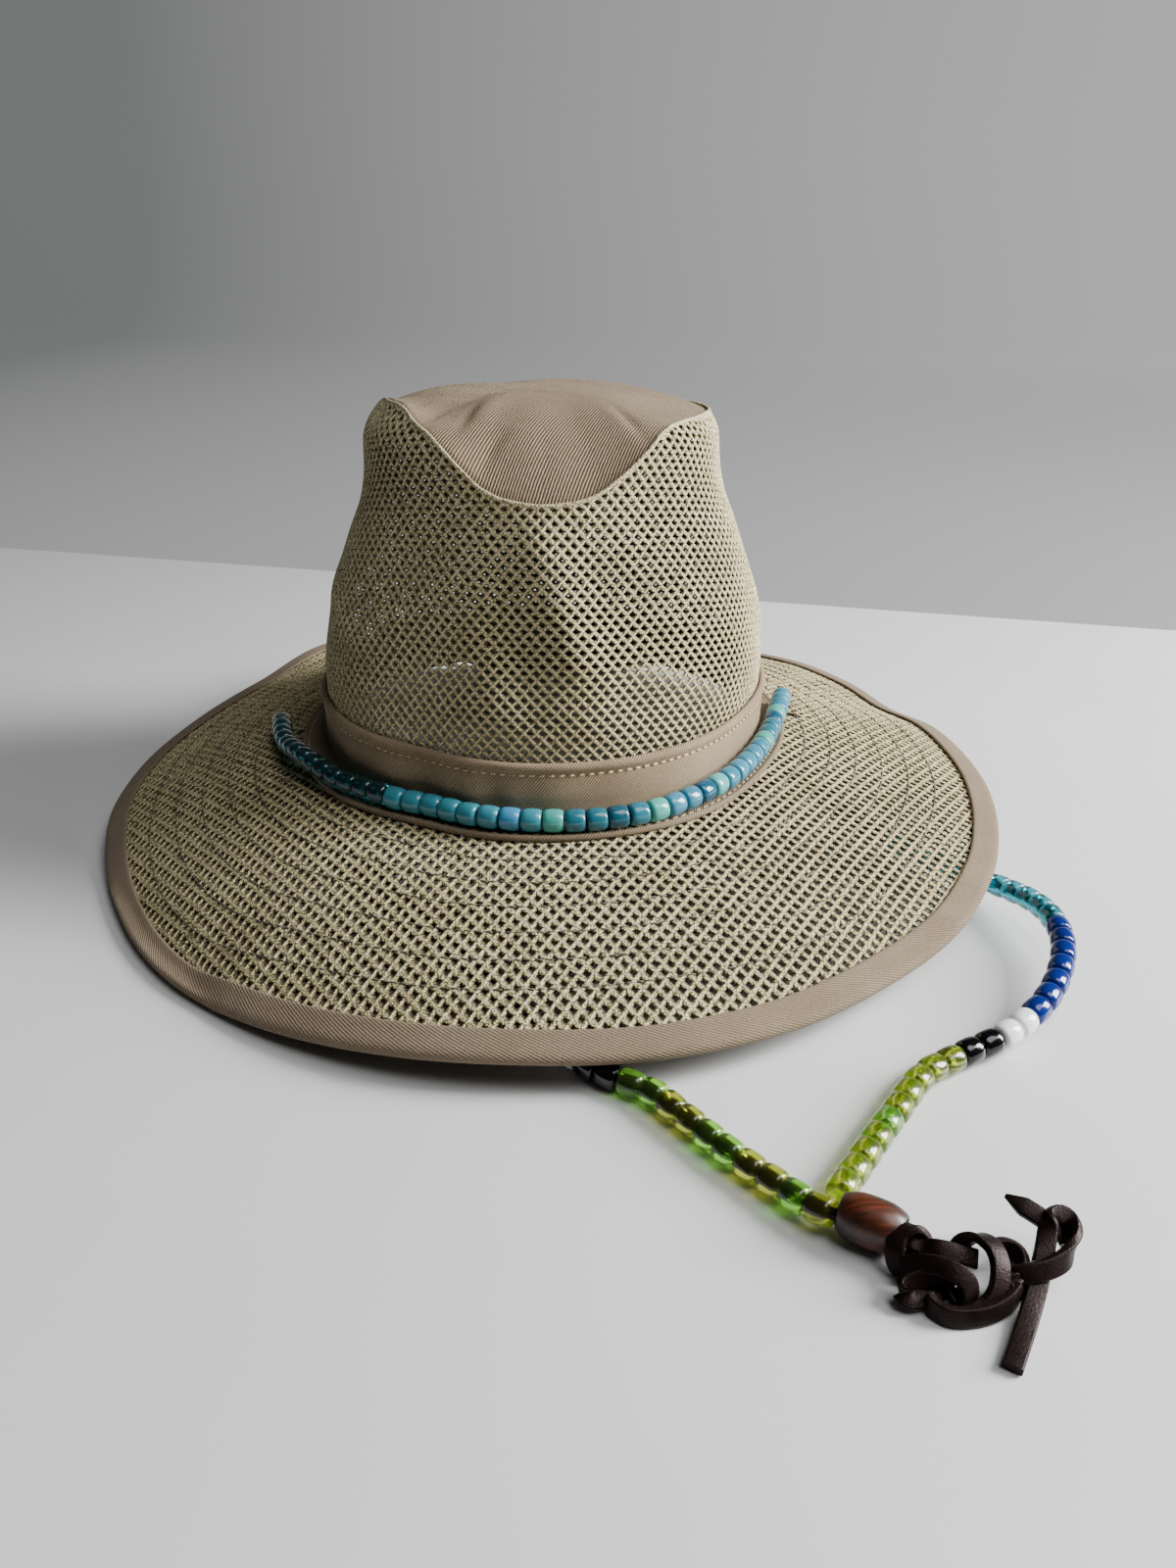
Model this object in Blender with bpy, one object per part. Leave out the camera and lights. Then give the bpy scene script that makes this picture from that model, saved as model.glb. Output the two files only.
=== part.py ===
"""Safari hat with a beaded chin strap, in separate pieces of net, twill, beads, wood and leather.

Metres, +Z up. The hat faces -Y and rests by itself on the surface z = 0, with the chin strap laid
out on the same surface in front of it. Angles go round the hat's own upright axis, in degrees,
from 0 at the front to +90 at +X and -90 at -X. The model is moved at the end so that the origin
is the middle of its footprint.
"""

import math
from collections import namedtuple

import bmesh
import bpy
from mathutils import Matrix, Vector

# Crown: sizes of the outside of the net wall
CROWN_WIDTH = 0.1796
CROWN_LENGTH = 0.1966
CROWN_TOP_WIDTH = 0.1200
CROWN_TOP_LENGTH = 0.1340
CROWN_HEIGHT = 0.1390
CROWN_OVAL_POWER = 2.15
V_DEPTH = 0.0288
DOME_RISE = 0.0030
DOME_POWER = 4.2
DENT_DEPTH = 0.0070
FOLD_DEPTH = 0.0020

# Height of the brim cloth at the crown's foot, and how much higher it is at the sides
FOOT_HEIGHT = 0.0400
FOOT_SIDE_LIFT = 0.0025

# Brim: from the hat's axis to the outer edge of the binding
BRIM_SIDE_REACH = 0.1880
BRIM_FRONT_REACH = 0.1980
BRIM_LIFT = 0.0260
BRIM_CURL = 1.35
WAVE_CURL = 2.2

# Cloth walls
NET_WALL = 0.0012
TOP_WALL = 0.0012
BAND_WALL = 0.0016
TAPE_WALL = 0.0012
BRIM_WALL = 0.0020
BINDING_WALL = 0.0010

# Twill parts
SKIRT_SHARE = 0.95
BAND_HEIGHT = 0.0216
BUCKLE_DEPTH = 0.0016
TAPE_WIDTH = 0.0120
TAPE_ROLL = 0.0024
BINDING_WIDTH = 0.0095
BINDING_FLAT = 0.0035

# Clearance between neighbouring pieces
GAP = 0.0003

# Chin strap
BEAD_DIAMETER = 0.0085
BEAD_PITCH = 0.0077
BEAD_NECK = 0.0062
LACE_DIAMETER = 0.0034
LACE_HOLE = 0.0054
SLIDE_LENGTH = 0.0165
SLIDE_DIAMETER = 0.0130
SLIDE_END_DIAMETER = 0.0100
SLIDE_BORE = 0.0080
KNOT_LACE_DIAMETER = 0.0038

# How finely the shapes are cut
STEPS_AROUND = 44
BEAD_SIDES = 10
KNOT_SIDES = 6
SLIDE_SIDES = 14

# How far the crown wall has come in from its foot to its top, as a share of the whole way
WallRow = namedtuple("WallRow", "height come_in")
WALL_ROWS = [
    WallRow(0.00, 0.000),
    WallRow(0.17, -0.015),
    WallRow(0.26, -0.010),
    WallRow(0.39, 0.083),
    WallRow(0.56, 0.300),
    WallRow(0.66, 0.450),
    WallRow(0.74, 0.600),
    WallRow(0.82, 0.680),
    WallRow(0.90, 0.710),
    WallRow(0.95, 0.817),
    WallRow(1.00, 1.000),
]

# Upper edge of the net: how far it dips below the two peaks, as a share of the V's depth
SeamRow = namedtuple("SeamRow", "angle drop")
SEAM_ROWS = [
    SeamRow(-180, 0.37),
    SeamRow(-130, 0.27),
    SeamRow(-95, 0.18),
    SeamRow(-65, 0.00),
    SeamRow(-53, 0.00),
    SeamRow(-47, 0.03),
    SeamRow(-40, 0.12),
    SeamRow(-32, 0.23),
    SeamRow(-26, 0.38),
    SeamRow(-19, 0.65),
    SeamRow(-14, 0.83),
    SeamRow(-8, 0.94),
    SeamRow(2, 1.00),
    SeamRow(9, 0.98),
    SeamRow(15, 0.92),
    SeamRow(20, 0.80),
    SeamRow(26, 0.62),
    SeamRow(32, 0.42),
    SeamRow(38, 0.24),
    SeamRow(44, 0.15),
    SeamRow(54, 0.10),
    SeamRow(65, 0.08),
    SeamRow(95, 0.18),
    SeamRow(130, 0.27),
    SeamRow(180, 0.37),
]

# Brim edge: reach as a share of the plain oval, lift as a share of BRIM_LIFT
EdgeRow = namedtuple("EdgeRow", "angle reach lift")
EDGE_ROWS = [
    EdgeRow(-180, 1.000, -0.12),
    EdgeRow(-171, 1.000, -0.10),
    EdgeRow(-163, 1.001, 0.26),
    EdgeRow(-152, 1.004, 0.84),
    EdgeRow(-140, 1.008, 1.00),
    EdgeRow(-124, 0.976, 0.73),
    EdgeRow(-108, 0.983, 0.52),
    EdgeRow(-95, 0.994, 0.37),
    EdgeRow(-85, 0.996, 0.26),
    EdgeRow(-73, 0.984, 0.12),
    EdgeRow(-65, 0.976, 0.00),
    EdgeRow(-57, 0.971, -0.12),
    EdgeRow(-41, 0.975, -0.12),
    EdgeRow(-33, 0.973, 0.02),
    EdgeRow(-24, 0.977, 0.13),
    EdgeRow(-12, 0.988, 0.28),
    EdgeRow(0, 1.000, 0.37),
    EdgeRow(14, 1.014, 0.39),
    EdgeRow(26, 1.009, 0.35),
    EdgeRow(36, 1.004, 0.36),
    EdgeRow(50, 1.014, 0.46),
    EdgeRow(60, 1.014, 0.58),
    EdgeRow(70, 1.008, 0.67),
    EdgeRow(80, 1.004, 0.69),
    EdgeRow(92, 1.003, 0.67),
    EdgeRow(104, 1.008, 0.62),
    EdgeRow(115, 0.994, 0.51),
    EdgeRow(126, 1.011, 0.59),
    EdgeRow(136, 1.000, 0.70),
    EdgeRow(148, 0.992, 0.66),
    EdgeRow(161, 0.996, 0.34),
    EdgeRow(171, 1.000, -0.10),
    EdgeRow(180, 1.000, -0.12),
]

# Soft hollows pressed into the crown wall, depth as a share of DENT_DEPTH
DentRow = namedtuple("DentRow", "angle half_angle height half_height depth")
DENT_ROWS = [
    DentRow(-30, 19, 0.50, 0.24, 1.00),
    DentRow(31, 17, 0.52, 0.22, 0.60),
    DentRow(-25, 11, 0.04, 0.20, 0.52),
    DentRow(58, 17, 0.04, 0.22, 0.50),
    DentRow(-88, 12, 0.72, 0.10, 0.35),
    DentRow(170, 22, 0.62, 0.24, 0.70),
]

# Soft furrows across the twill top: angle, distance from the middle, depth as a share
FoldRow = namedtuple("FoldRow", "angle half_angle ring half_ring depth")
FOLD_ROWS = [
    FoldRow(-44, 9, 0.66, 0.22, 1.00),
    FoldRow(12, 10, 0.72, 0.16, 0.70),
    FoldRow(-150, 16, 0.55, 0.20, 0.90),
    FoldRow(120, 14, 0.60, 0.20, 0.60),
]

# Buckles in the band, standing out from it, depth as a share of BUCKLE_DEPTH
BuckleRow = namedtuple("BuckleRow", "angle half_angle depth")
BUCKLE_ROWS = [
    BuckleRow(-38, 7, 0.80),
    BuckleRow(-22, 6, 1.00),
    BuckleRow(-8, 7, 0.50),
    BuckleRow(150, 9, 0.90),
]

# Holes through the brim where the lace goes down, measured out from the crown wall
HoleRow = namedtuple("HoleRow", "name angle out")
HOLE_ROWS = [
    HoleRow("left", -84.5, 0.0146),
    HoleRow("right", 96.3, 0.0192),
]

# Bead run over the brim, round the front of the crown: how far it stands off the band, and how
# much higher it lies than on the flat of the tape
RunRow = namedtuple("RunRow", "angle off rise")
CROWN_RUN = [
    RunRow(-88.7, 0.0166, -0.0012),
    RunRow(-78.4, 0.0127, -0.0012),
    RunRow(-71.0, 0.0098, -0.0008),
    RunRow(-65.5, 0.0075, 0.0006),
    RunRow(-57.9, 0.0049, 0.0013),
    RunRow(-51.4, 0.0032, 0.0009),
    RunRow(-45.8, 0.0018, 0.0002),
    RunRow(-41.4, 0.0008, 0.0),
    RunRow(-31.0, 0.0008, 0.0),
    RunRow(-22.0, 0.0, 0.0),
    RunRow(-12.0, 0.0002, 0.0),
    RunRow(-2.0, 0.0005, 0.0),
    RunRow(8.0, 0.0014, 0.0),
    RunRow(17.0, 0.0018, 0.0002),
    RunRow(25.0, 0.0012, 0.0),
    RunRow(34.0, 0.0, 0.0),
    RunRow(44.0, 0.0, 0.0),
    RunRow(54.0, 0.0, 0.0),
    RunRow(64.0, 0.0, 0.0),
    RunRow(74.0, 0.0, 0.0),
    RunRow(84.0, 0.0011, 0.0002),
    RunRow(91.3, 0.0037, 0.0012),
    RunRow(98.6, 0.0073, 0.0008),
]

# The strap's two sides, from below the brim to the slide: the middle of the beads, measured
# from the hat's axis, in millimetres
RoutePoint = namedtuple("RoutePoint", "x y z")
LEFT_ROUTE = [
    RoutePoint(-102.5, -15, 27),
    RoutePoint(-98.5, -22, 16),
    RoutePoint(-91, -34, 7.5),
    RoutePoint(-80, -50, 4.3),
    RoutePoint(-62, -77, 4.3),
    RoutePoint(-42, -106, 4.3),
    RoutePoint(-21, -136, 4.3),
    RoutePoint(-2, -163, 4.3),
    RoutePoint(13, -184, 4.3),
    RoutePoint(26, -195, 4.3),
    RoutePoint(36, -201, 4.3),
    RoutePoint(46, -213, 4.3),
    RoutePoint(57, -227, 4.3),
    RoutePoint(67, -238, 4.4),
    RoutePoint(74.5, -246.5, 5.2),
]
RIGHT_ROUTE = [
    RoutePoint(110, 6, 27),
    RoutePoint(117, -6, 17),
    RoutePoint(127, -21, 10),
    RoutePoint(141, -42, 6.5),
    RoutePoint(157, -65, 6.8),
    RoutePoint(172, -88, 10),
    RoutePoint(180, -108, 13.5),
    RoutePoint(181.5, -126, 14),
    RoutePoint(176.5, -144, 13),
    RoutePoint(166, -161, 9.5),
    RoutePoint(150, -175, 6.2),
    RoutePoint(131, -185, 4.4),
    RoutePoint(118, -194, 4.3),
    RoutePoint(106, -210, 4.3),
    RoutePoint(96, -224, 4.3),
    RoutePoint(88.5, -235, 4.4),
    RoutePoint(83, -243.5, 5.4),
]

# Wooden slide: the middle of its near end, its height and the way it points
SLIDE_START = RoutePoint(82.0, -250.5, 6.5)
SLIDE_TURN = -29.0

# Strokes of the knot after the slide, from the hat's axis, in millimetres
KNOT_STROKES = {
    "neck": [(101, -263, 6.0), (105, -268, 7.5), (110, -273, 6.5), (113, -277, 3.0)],
    "shoulder": [(105, -261.5, 6.5), (110, -262.5, 8.0), (115, -264.5, 9.0), (118.5, -269, 7.5),
                 (118, -274, 4.0)],
    "wrap": [(99, -267, 2.4), (98.6, -263.6, 6.0), (101.5, -260.5, 9.6), (105.5, -262, 9.6),
             (107, -265.5, 5.0), (104.5, -268.5, 2.4)],
    "curl": [(94, -273, 3.0), (96.5, -269.5, 6.0), (101, -268.5, 8.6), (107, -270, 9.0),
             (111.5, -273, 6.0)],
    "lower_arc": [(93.5, -272.4, 3.0), (98, -278, 2.4), (105, -281, 2.2), (112, -280.5, 2.4),
                  (118, -277.5, 3.4), (121.5, -272.5, 5.0)],
    "mass": [(114, -266.5, 4.0), (120, -261.5, 3.0), (125, -262, 4.5), (126, -267.5, 5.5),
             (123, -273.5, 4.5)],
    "loop": [(119, -271, 6.4), (128, -271, 7.0), (134.5, -267.5, 7.5), (139, -261.5, 8.5),
             (139.5, -256.5, 8.5), (136, -254.5, 7.0), (133.5, -257, 6.0)],
    "upper_tail": [(125, -250.5, 11.5), (130, -253, 9.4), (134, -255, 7.4), (136.8, -256.8, 6.6)],
    "lower_tail": [(136, -254.5, 6.6), (133, -259.5, 5.2), (129, -267, 3.8), (126, -272.5, 2.8),
                   (120, -282.5, 2.1), (114, -293.5, 2.0)],
}

MM = 0.001


# Tables and smooth lines

def smooth(rows, place, column):
    """Read a column of a table at any place, on a curve that never overshoots its rows."""
    keys = [row[0] for row in rows]
    values = [getattr(row, column) for row in rows]
    if place <= keys[0]:
        return values[0]
    if place >= keys[-1]:
        return values[-1]
    low = max(index for index in range(len(keys) - 1) if keys[index] <= place)
    span = keys[low + 1] - keys[low]
    t = (place - keys[low]) / span

    def slope(index):
        if index == 0 or index == len(keys) - 1:
            return 0.0
        before = (values[index] - values[index - 1]) / (keys[index] - keys[index - 1])
        after = (values[index + 1] - values[index]) / (keys[index + 1] - keys[index])
        if before * after <= 0:
            return 0.0
        return 2 * before * after / (before + after)

    start = slope(low) * span
    end = slope(low + 1) * span
    rise = 3 * t * t - 2 * t * t * t
    return (values[low] + (values[low + 1] - values[low]) * rise
            + start * (t - 2 * t * t + t * t * t) + end * (t * t * t - t * t))


def wrapped(angle):
    """The same angle between -180 and 180."""
    return (angle + 180) % 360 - 180


def bump(distance, half_width):
    """A soft hump of height 1, half as high at the half width."""
    return math.exp(-math.log(2) * (distance / half_width) ** 2)


def smooth_line(points, spacing):
    """Points at an even spacing on a Catmull-Rom curve through the given points."""
    ends = [2 * points[0] - points[1]] + list(points) + [2 * points[-1] - points[-2]]
    fine = []
    parts = 24
    for index in range(1, len(ends) - 2):
        before, here, there, after = ends[index - 1:index + 3]
        for part in range(parts):
            t = part / parts
            fine.append(0.5 * (2 * here + (there - before) * t
                               + (2 * before - 5 * here + 4 * there - after) * t * t
                               + (3 * here - before - 3 * there + after) * t * t * t))
    fine.append(points[-1].copy())
    lengths = [0.0]
    for first, second in zip(fine, fine[1:]):
        lengths.append(lengths[-1] + (second - first).length)
    count = max(2, round(lengths[-1] / spacing))
    return [point_along(fine, lengths, lengths[-1] * step / count) for step in range(count + 1)]


def point_along(line, lengths, distance):
    """The point at a distance along a line whose running lengths are known."""
    index = 0
    while index < len(lengths) - 2 and lengths[index + 1] < distance:
        index += 1
    span = lengths[index + 1] - lengths[index]
    share = 0.0 if span == 0 else (distance - lengths[index]) / span
    return line[index].lerp(line[index + 1], min(1.0, max(0.0, share)))


# The two cloth surfaces that everything else is set against

def oval_radius(angle, half_width, half_length, power):
    """Distance from the axis to an oval, in the direction of the angle."""
    across = abs(math.sin(math.radians(angle))) / half_width
    along = abs(math.cos(math.radians(angle))) / half_length
    return (across ** power + along ** power) ** (-1 / power)


def direction(angle):
    """Level unit vector that points away from the axis at the angle."""
    turn = math.radians(angle)
    return Vector((math.sin(turn), -math.cos(turn), 0.0))


def foot_height(angle):
    """Height of the brim cloth at the crown's foot."""
    return FOOT_HEIGHT + FOOT_SIDE_LIFT * math.sin(math.radians(angle)) ** 2


def seam_height(angle):
    """Height of the net's upper edge."""
    return FOOT_HEIGHT + CROWN_HEIGHT - V_DEPTH * smooth(SEAM_ROWS, wrapped(angle), "drop")


def wall_point(angle, height):
    """A point on the outside of the crown's net wall."""
    share = (height - FOOT_HEIGHT) / CROWN_HEIGHT
    come_in = smooth(WALL_ROWS, share, "come_in")
    half_width = (CROWN_WIDTH + (CROWN_TOP_WIDTH - CROWN_WIDTH) * come_in) / 2
    half_length = (CROWN_LENGTH + (CROWN_TOP_LENGTH - CROWN_LENGTH) * come_in) / 2
    radius = oval_radius(angle, half_width, half_length, CROWN_OVAL_POWER)
    for dent in DENT_ROWS:
        across = bump(wrapped(angle - dent.angle), dent.half_angle)
        upright = bump(share - dent.height, dent.half_height)
        radius -= DENT_DEPTH * dent.depth * across * upright
    return direction(angle) * radius + Vector((0.0, 0.0, height))


def wall_skin(angle, height, out):
    """A point at a distance out from the crown wall, square to it."""
    turn = 0.5
    rise = 0.0005
    around = wall_point(angle + turn, height) - wall_point(angle - turn, height)
    upward = wall_point(angle, height + rise) - wall_point(angle, height - rise)
    return wall_point(angle, height) + around.cross(upward).normalized() * out


def brim_inner_radius(angle):
    """The brim cloth reaches in as far as the inside of the crown's net wall."""
    return wall_point(angle, FOOT_HEIGHT).xy.length - NET_WALL


def brim_outer_radius(angle):
    """The brim cloth ends inside the fold of its binding."""
    oval = oval_radius(angle, BRIM_SIDE_REACH, BRIM_FRONT_REACH, 2.0)
    return oval * smooth(EDGE_ROWS, wrapped(angle), "reach") - BINDING_WALL - GAP


def brim_point(angle, share):
    """A point in the middle of the brim cloth, share 0 at the crown and 1 at the edge."""
    inner = brim_inner_radius(angle)
    radius = inner + (brim_outer_radius(angle) - inner) * share
    stack = BRIM_WALL / 2 + GAP + BINDING_WALL
    middle = 0.4 * BRIM_LIFT + stack
    edge = smooth(EDGE_ROWS, wrapped(angle), "lift") * BRIM_LIFT + stack
    drop = (foot_height(angle) - middle) * share ** BRIM_CURL
    wave = (edge - middle) * share ** WAVE_CURL
    return direction(angle) * radius + Vector((0.0, 0.0, foot_height(angle) - drop + wave))


def brim_skin(angle, share, up):
    """A point at a distance above the middle of the brim cloth, square to it."""
    turn = 0.5
    step = 0.01
    inner = max(0.0, share - step)
    outer = min(1.0, share + step)
    outward = brim_point(angle, outer) - brim_point(angle, inner)
    around = brim_point(angle + turn, share) - brim_point(angle - turn, share)
    return brim_point(angle, share) + outward.cross(around).normalized() * up


def share_at(angle, distance):
    """Share of the brim's width at a distance out from the crown wall."""
    inner = brim_inner_radius(angle)
    return (distance + NET_WALL) / (brim_outer_radius(angle) - inner)


def edge_point(angle, out, up):
    """A point by its distance beyond the brim cloth's edge and above its middle."""
    width = brim_outer_radius(angle) - brim_inner_radius(angle)
    straight = 1 - (BINDING_WIDTH + MM) / width
    edge = brim_point(angle, 1.0)
    outward = (edge - brim_point(angle, straight)).normalized()
    around = brim_point(angle + 0.5, 1.0) - brim_point(angle - 0.5, 1.0)
    return edge + outward * out + outward.cross(around).normalized() * up


def on_surface(point, least):
    """Cloth that rests on the surface is pressed flat, each layer above the one below."""
    return Vector((point.x, point.y, max(point.z, least)))


# Meshes and materials

def plain_material(name, colour, roughness, metallic=0.0):
    material = bpy.data.materials.new(name)
    material.use_nodes = True
    shader = material.node_tree.nodes["Principled BSDF"]
    shader.inputs["Base Color"].default_value = (*colour, 1.0)
    shader.inputs["Roughness"].default_value = roughness
    shader.inputs["Metallic"].default_value = metallic
    return material


def new_piece(name, verts, faces, material):
    """A named object whose faces all point outwards."""
    mesh = bpy.data.meshes.new(name)
    mesh.from_pydata([tuple(vert) for vert in verts], [], faces)
    shape = bmesh.new()
    shape.from_mesh(mesh)
    bmesh.ops.recalc_face_normals(shape, faces=shape.faces)
    shape.to_mesh(mesh)
    shape.free()
    mesh.materials.append(material)
    mesh.shade_smooth()
    mesh.set_sharp_from_angle(angle=math.radians(40))
    piece = bpy.data.objects.new(name, mesh)
    bpy.context.scene.collection.objects.link(piece)
    return piece


def angles_around():
    return [-180 + 360 * step / STEPS_AROUND for step in range(STEPS_AROUND)]


def split_quad(verts, here_low, there_low, there_high, here_high):
    """Two triangles for a patch between two sections. Neighbouring layers are split along the
    same diagonal, so that the gap between them stays even where the cloth twists."""

    def outward(index):
        return verts[index].xy.length - verts[index].z

    low = outward(here_low) + outward(there_low)
    high = outward(here_high) + outward(there_high)
    if low <= high:
        return [(here_low, there_low, there_high), (here_low, there_high, here_high)]
    return [(here_low, there_low, here_high), (there_low, there_high, here_high)]


def ring_piece(name, section, material):
    """A closed ring: section(angle) gives the same number of points at every angle."""
    sections = [section(angle) for angle in angles_around()]
    size = len(sections[0])
    verts = [point for points in sections for point in points]
    faces = []
    for step in range(STEPS_AROUND):
        here = step * size
        there = (step + 1) % STEPS_AROUND * size
        for index in range(size):
            after = (index + 1) % size
            faces += split_quad(verts, here + index, there + index, there + after, here + after)
    return new_piece(name, verts, faces, material)


def tube_piece(name, line, radii, sides, material):
    """A closed round body along a line, with its own radius at each point."""
    frames = line_frames(line)
    verts = []
    for point, radius, (side, up) in zip(line, radii, frames):
        for step in range(sides):
            turn = 2 * math.pi * step / sides
            verts.append(point + (side * math.cos(turn) + up * math.sin(turn)) * radius)
    faces = []
    for index in range(len(line) - 1):
        here = index * sides
        there = here + sides
        for step in range(sides):
            after = (step + 1) % sides
            faces.append((here + step, here + after, there + after, there + step))
    last = (len(line) - 1) * sides
    faces.append(tuple(reversed(range(sides))))
    faces.append(tuple(range(last, last + sides)))
    return new_piece(name, verts, faces, material)


def line_frames(line):
    """Side and up directions along a line, carried along it without twist."""
    frames = []
    side = None
    for index in range(len(line)):
        ahead = line[min(index + 1, len(line) - 1)]
        behind = line[max(index - 1, 0)]
        tangent = (ahead - behind).normalized()
        if side is None:
            start = Vector((0.0, 0.0, 1.0))
            if abs(tangent.z) > 0.9:
                start = Vector((1.0, 0.0, 0.0))
            side = tangent.cross(start).normalized()
        side = (side - tangent * side.dot(tangent)).normalized()
        frames.append((side, tangent.cross(side).normalized()))
    return frames


# Crown

def make_crown_net(material):
    """Side wall of open net, from the brim cloth up to its V-shaped upper edge."""
    outside = [0.17, 0.32, 0.48, 0.62, 0.74, 0.84, 0.94, 1.0]
    inside = [1.0, SKIRT_SHARE, 0.84, 0.66, 0.42, 0.17]

    def section(angle):
        foot = foot_height(angle) + BRIM_WALL / 2 + GAP
        seam = seam_height(angle)
        points = [wall_skin(angle, foot, 0.0)]
        points += [wall_skin(angle, foot + (seam - foot) * share, 0.0) for share in outside]
        points += [wall_skin(angle, foot + (seam - foot) * share, -NET_WALL) for share in inside]
        points.append(wall_skin(angle, foot, -NET_WALL))
        return points

    return ring_piece("crown_net", section, material)


def dome_point(angle, ring, below):
    """A point on the twill top: ring 1 at its rim and 0 in the middle, below = depth under it."""
    rim = wall_skin(angle, seam_height(angle), -NET_WALL - GAP - below)
    top = FOOT_HEIGHT + CROWN_HEIGHT + DOME_RISE
    height = rim.z + (top - below - rim.z) * (1 - ring ** DOME_POWER)
    for fold in FOLD_ROWS:
        across = bump(wrapped(angle - fold.angle), fold.half_angle)
        inward = bump(ring - fold.ring, fold.half_ring)
        height -= FOLD_DEPTH * fold.depth * across * inward * (1 - ring ** 6)
    return Vector((rim.x * ring, rim.y * ring, height))


def make_crown_top(material):
    """Twill panel that closes the crown, with a short skirt tucked inside the net."""
    upper_rings = [1.0, 0.90, 0.74, 0.52, 0.27]
    lower_rings = [1.0, 0.86, 0.62, 0.30]
    verts = []
    faces = []
    rims = []
    for rings, depth in ((upper_rings, 0.0), (lower_rings, TOP_WALL)):
        start = len(verts)
        size = len(rings) + 1
        for angle in angles_around():
            seam = seam_height(angle)
            foot = foot_height(angle) + BRIM_WALL / 2 + GAP
            tuck = foot + (seam - foot) * SKIRT_SHARE
            verts.append(wall_skin(angle, tuck, -NET_WALL - GAP - depth))
            verts += [dome_point(angle, ring, depth) for ring in rings]
        pole = len(verts)
        verts.append(dome_point(0.0, 0.0, depth))
        rims.append([start + step * size for step in range(STEPS_AROUND)])
        for step in range(STEPS_AROUND):
            here = start + step * size
            there = start + (step + 1) % STEPS_AROUND * size
            for index in range(size - 1):
                faces += split_quad(verts, here + index, there + index,
                                    there + index + 1, here + index + 1)
            faces.append((here + size - 1, there + size - 1, pole))
    outer, inner = rims
    for step in range(STEPS_AROUND):
        after = (step + 1) % STEPS_AROUND
        faces.append((outer[step], outer[after], inner[after], inner[step]))
    return new_piece("crown_top", verts, faces, material)


def band_foot(angle):
    """Lower edge of the band, just above the tape that lies on the brim."""
    return foot_height(angle) + BRIM_WALL / 2 + GAP + TAPE_WALL + GAP


def make_crown_band(material):
    """Twill band round the foot of the crown, with a few soft buckles."""

    def section(angle):
        foot = band_foot(angle)
        top = foot + BAND_HEIGHT
        middle = foot + 0.4 * BAND_HEIGHT
        buckle = sum(row.depth * bump(wrapped(angle - row.angle), row.half_angle)
                     for row in BUCKLE_ROWS)
        outside = GAP + BAND_WALL
        return [
            wall_skin(angle, foot, GAP),
            wall_skin(angle, foot, outside),
            wall_skin(angle, middle, outside + BUCKLE_DEPTH * buckle),
            wall_skin(angle, top, outside),
            wall_skin(angle, top, GAP),
        ]

    return ring_piece("crown_band", section, material)


# Brim

def make_brim_tape(material):
    """Twill tape on the brim round the crown's foot, with a rolled outer edge."""

    def section(angle):
        bottom = BRIM_WALL / 2 + GAP
        inner = share_at(angle, GAP)
        outer = share_at(angle, GAP + TAPE_WIDTH)
        crest = share_at(angle, GAP + TAPE_WIDTH - TAPE_ROLL / 3)
        roll = share_at(angle, GAP + TAPE_WIDTH - TAPE_ROLL)
        return [
            brim_skin(angle, inner, bottom),
            brim_skin(angle, outer, bottom),
            brim_skin(angle, crest, bottom + TAPE_ROLL),
            brim_skin(angle, roll, bottom + TAPE_WALL),
            brim_skin(angle, inner, bottom + TAPE_WALL),
        ]

    return ring_piece("brim_tape", section, material)


def make_brim_net(material):
    """The brim: doubled net from the crown's foot to inside the binding."""
    shares = [0.30, 0.50, 0.70]

    def section(angle):
        above = BRIM_WALL / 2
        least = BINDING_WALL + GAP
        tape = share_at(angle, GAP + TAPE_WIDTH)
        upper = [brim_skin(angle, share, above) for share in [0.0, tape] + shares]
        upper += [edge_point(angle, -BINDING_WIDTH, above), edge_point(angle, 0.0, above)]
        lower = [edge_point(angle, 0.0, -above), edge_point(angle, -BINDING_WIDTH, -above)]
        lower += [brim_skin(angle, share, -above) for share in [0.70, 0.30, 0.0]]
        points = [on_surface(point, least + BRIM_WALL) for point in upper]
        return points + [on_surface(point, least) for point in lower]

    piece = ring_piece("brim_net", section, material)
    for row in HOLE_ROWS:
        cut_hole(piece, row)
    return piece


def hole_place(row):
    """Where a lace hole goes through the middle of the brim cloth."""
    return brim_point(row.angle, share_at(row.angle, row.out))


def cut_hole(piece, row):
    """Cut an upright round hole for the lace."""
    shape = bmesh.new()
    bmesh.ops.create_cone(shape, cap_ends=True, segments=8, radius1=LACE_HOLE / 2,
                          radius2=LACE_HOLE / 2, depth=10 * BRIM_WALL)
    bmesh.ops.translate(shape, verts=shape.verts, vec=hole_place(row))
    mesh = bpy.data.meshes.new("hole_" + row.name)
    shape.to_mesh(mesh)
    shape.free()
    cutter = bpy.data.objects.new("hole_" + row.name, mesh)
    bpy.context.scene.collection.objects.link(cutter)
    hide_guide(cutter)
    cut = piece.modifiers.new("hole_" + row.name, "BOOLEAN")
    cut.operation = "DIFFERENCE"
    cut.object = cutter


def hide_guide(guide):
    guide.hide_render = True
    guide.display_type = "WIRE"


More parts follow.
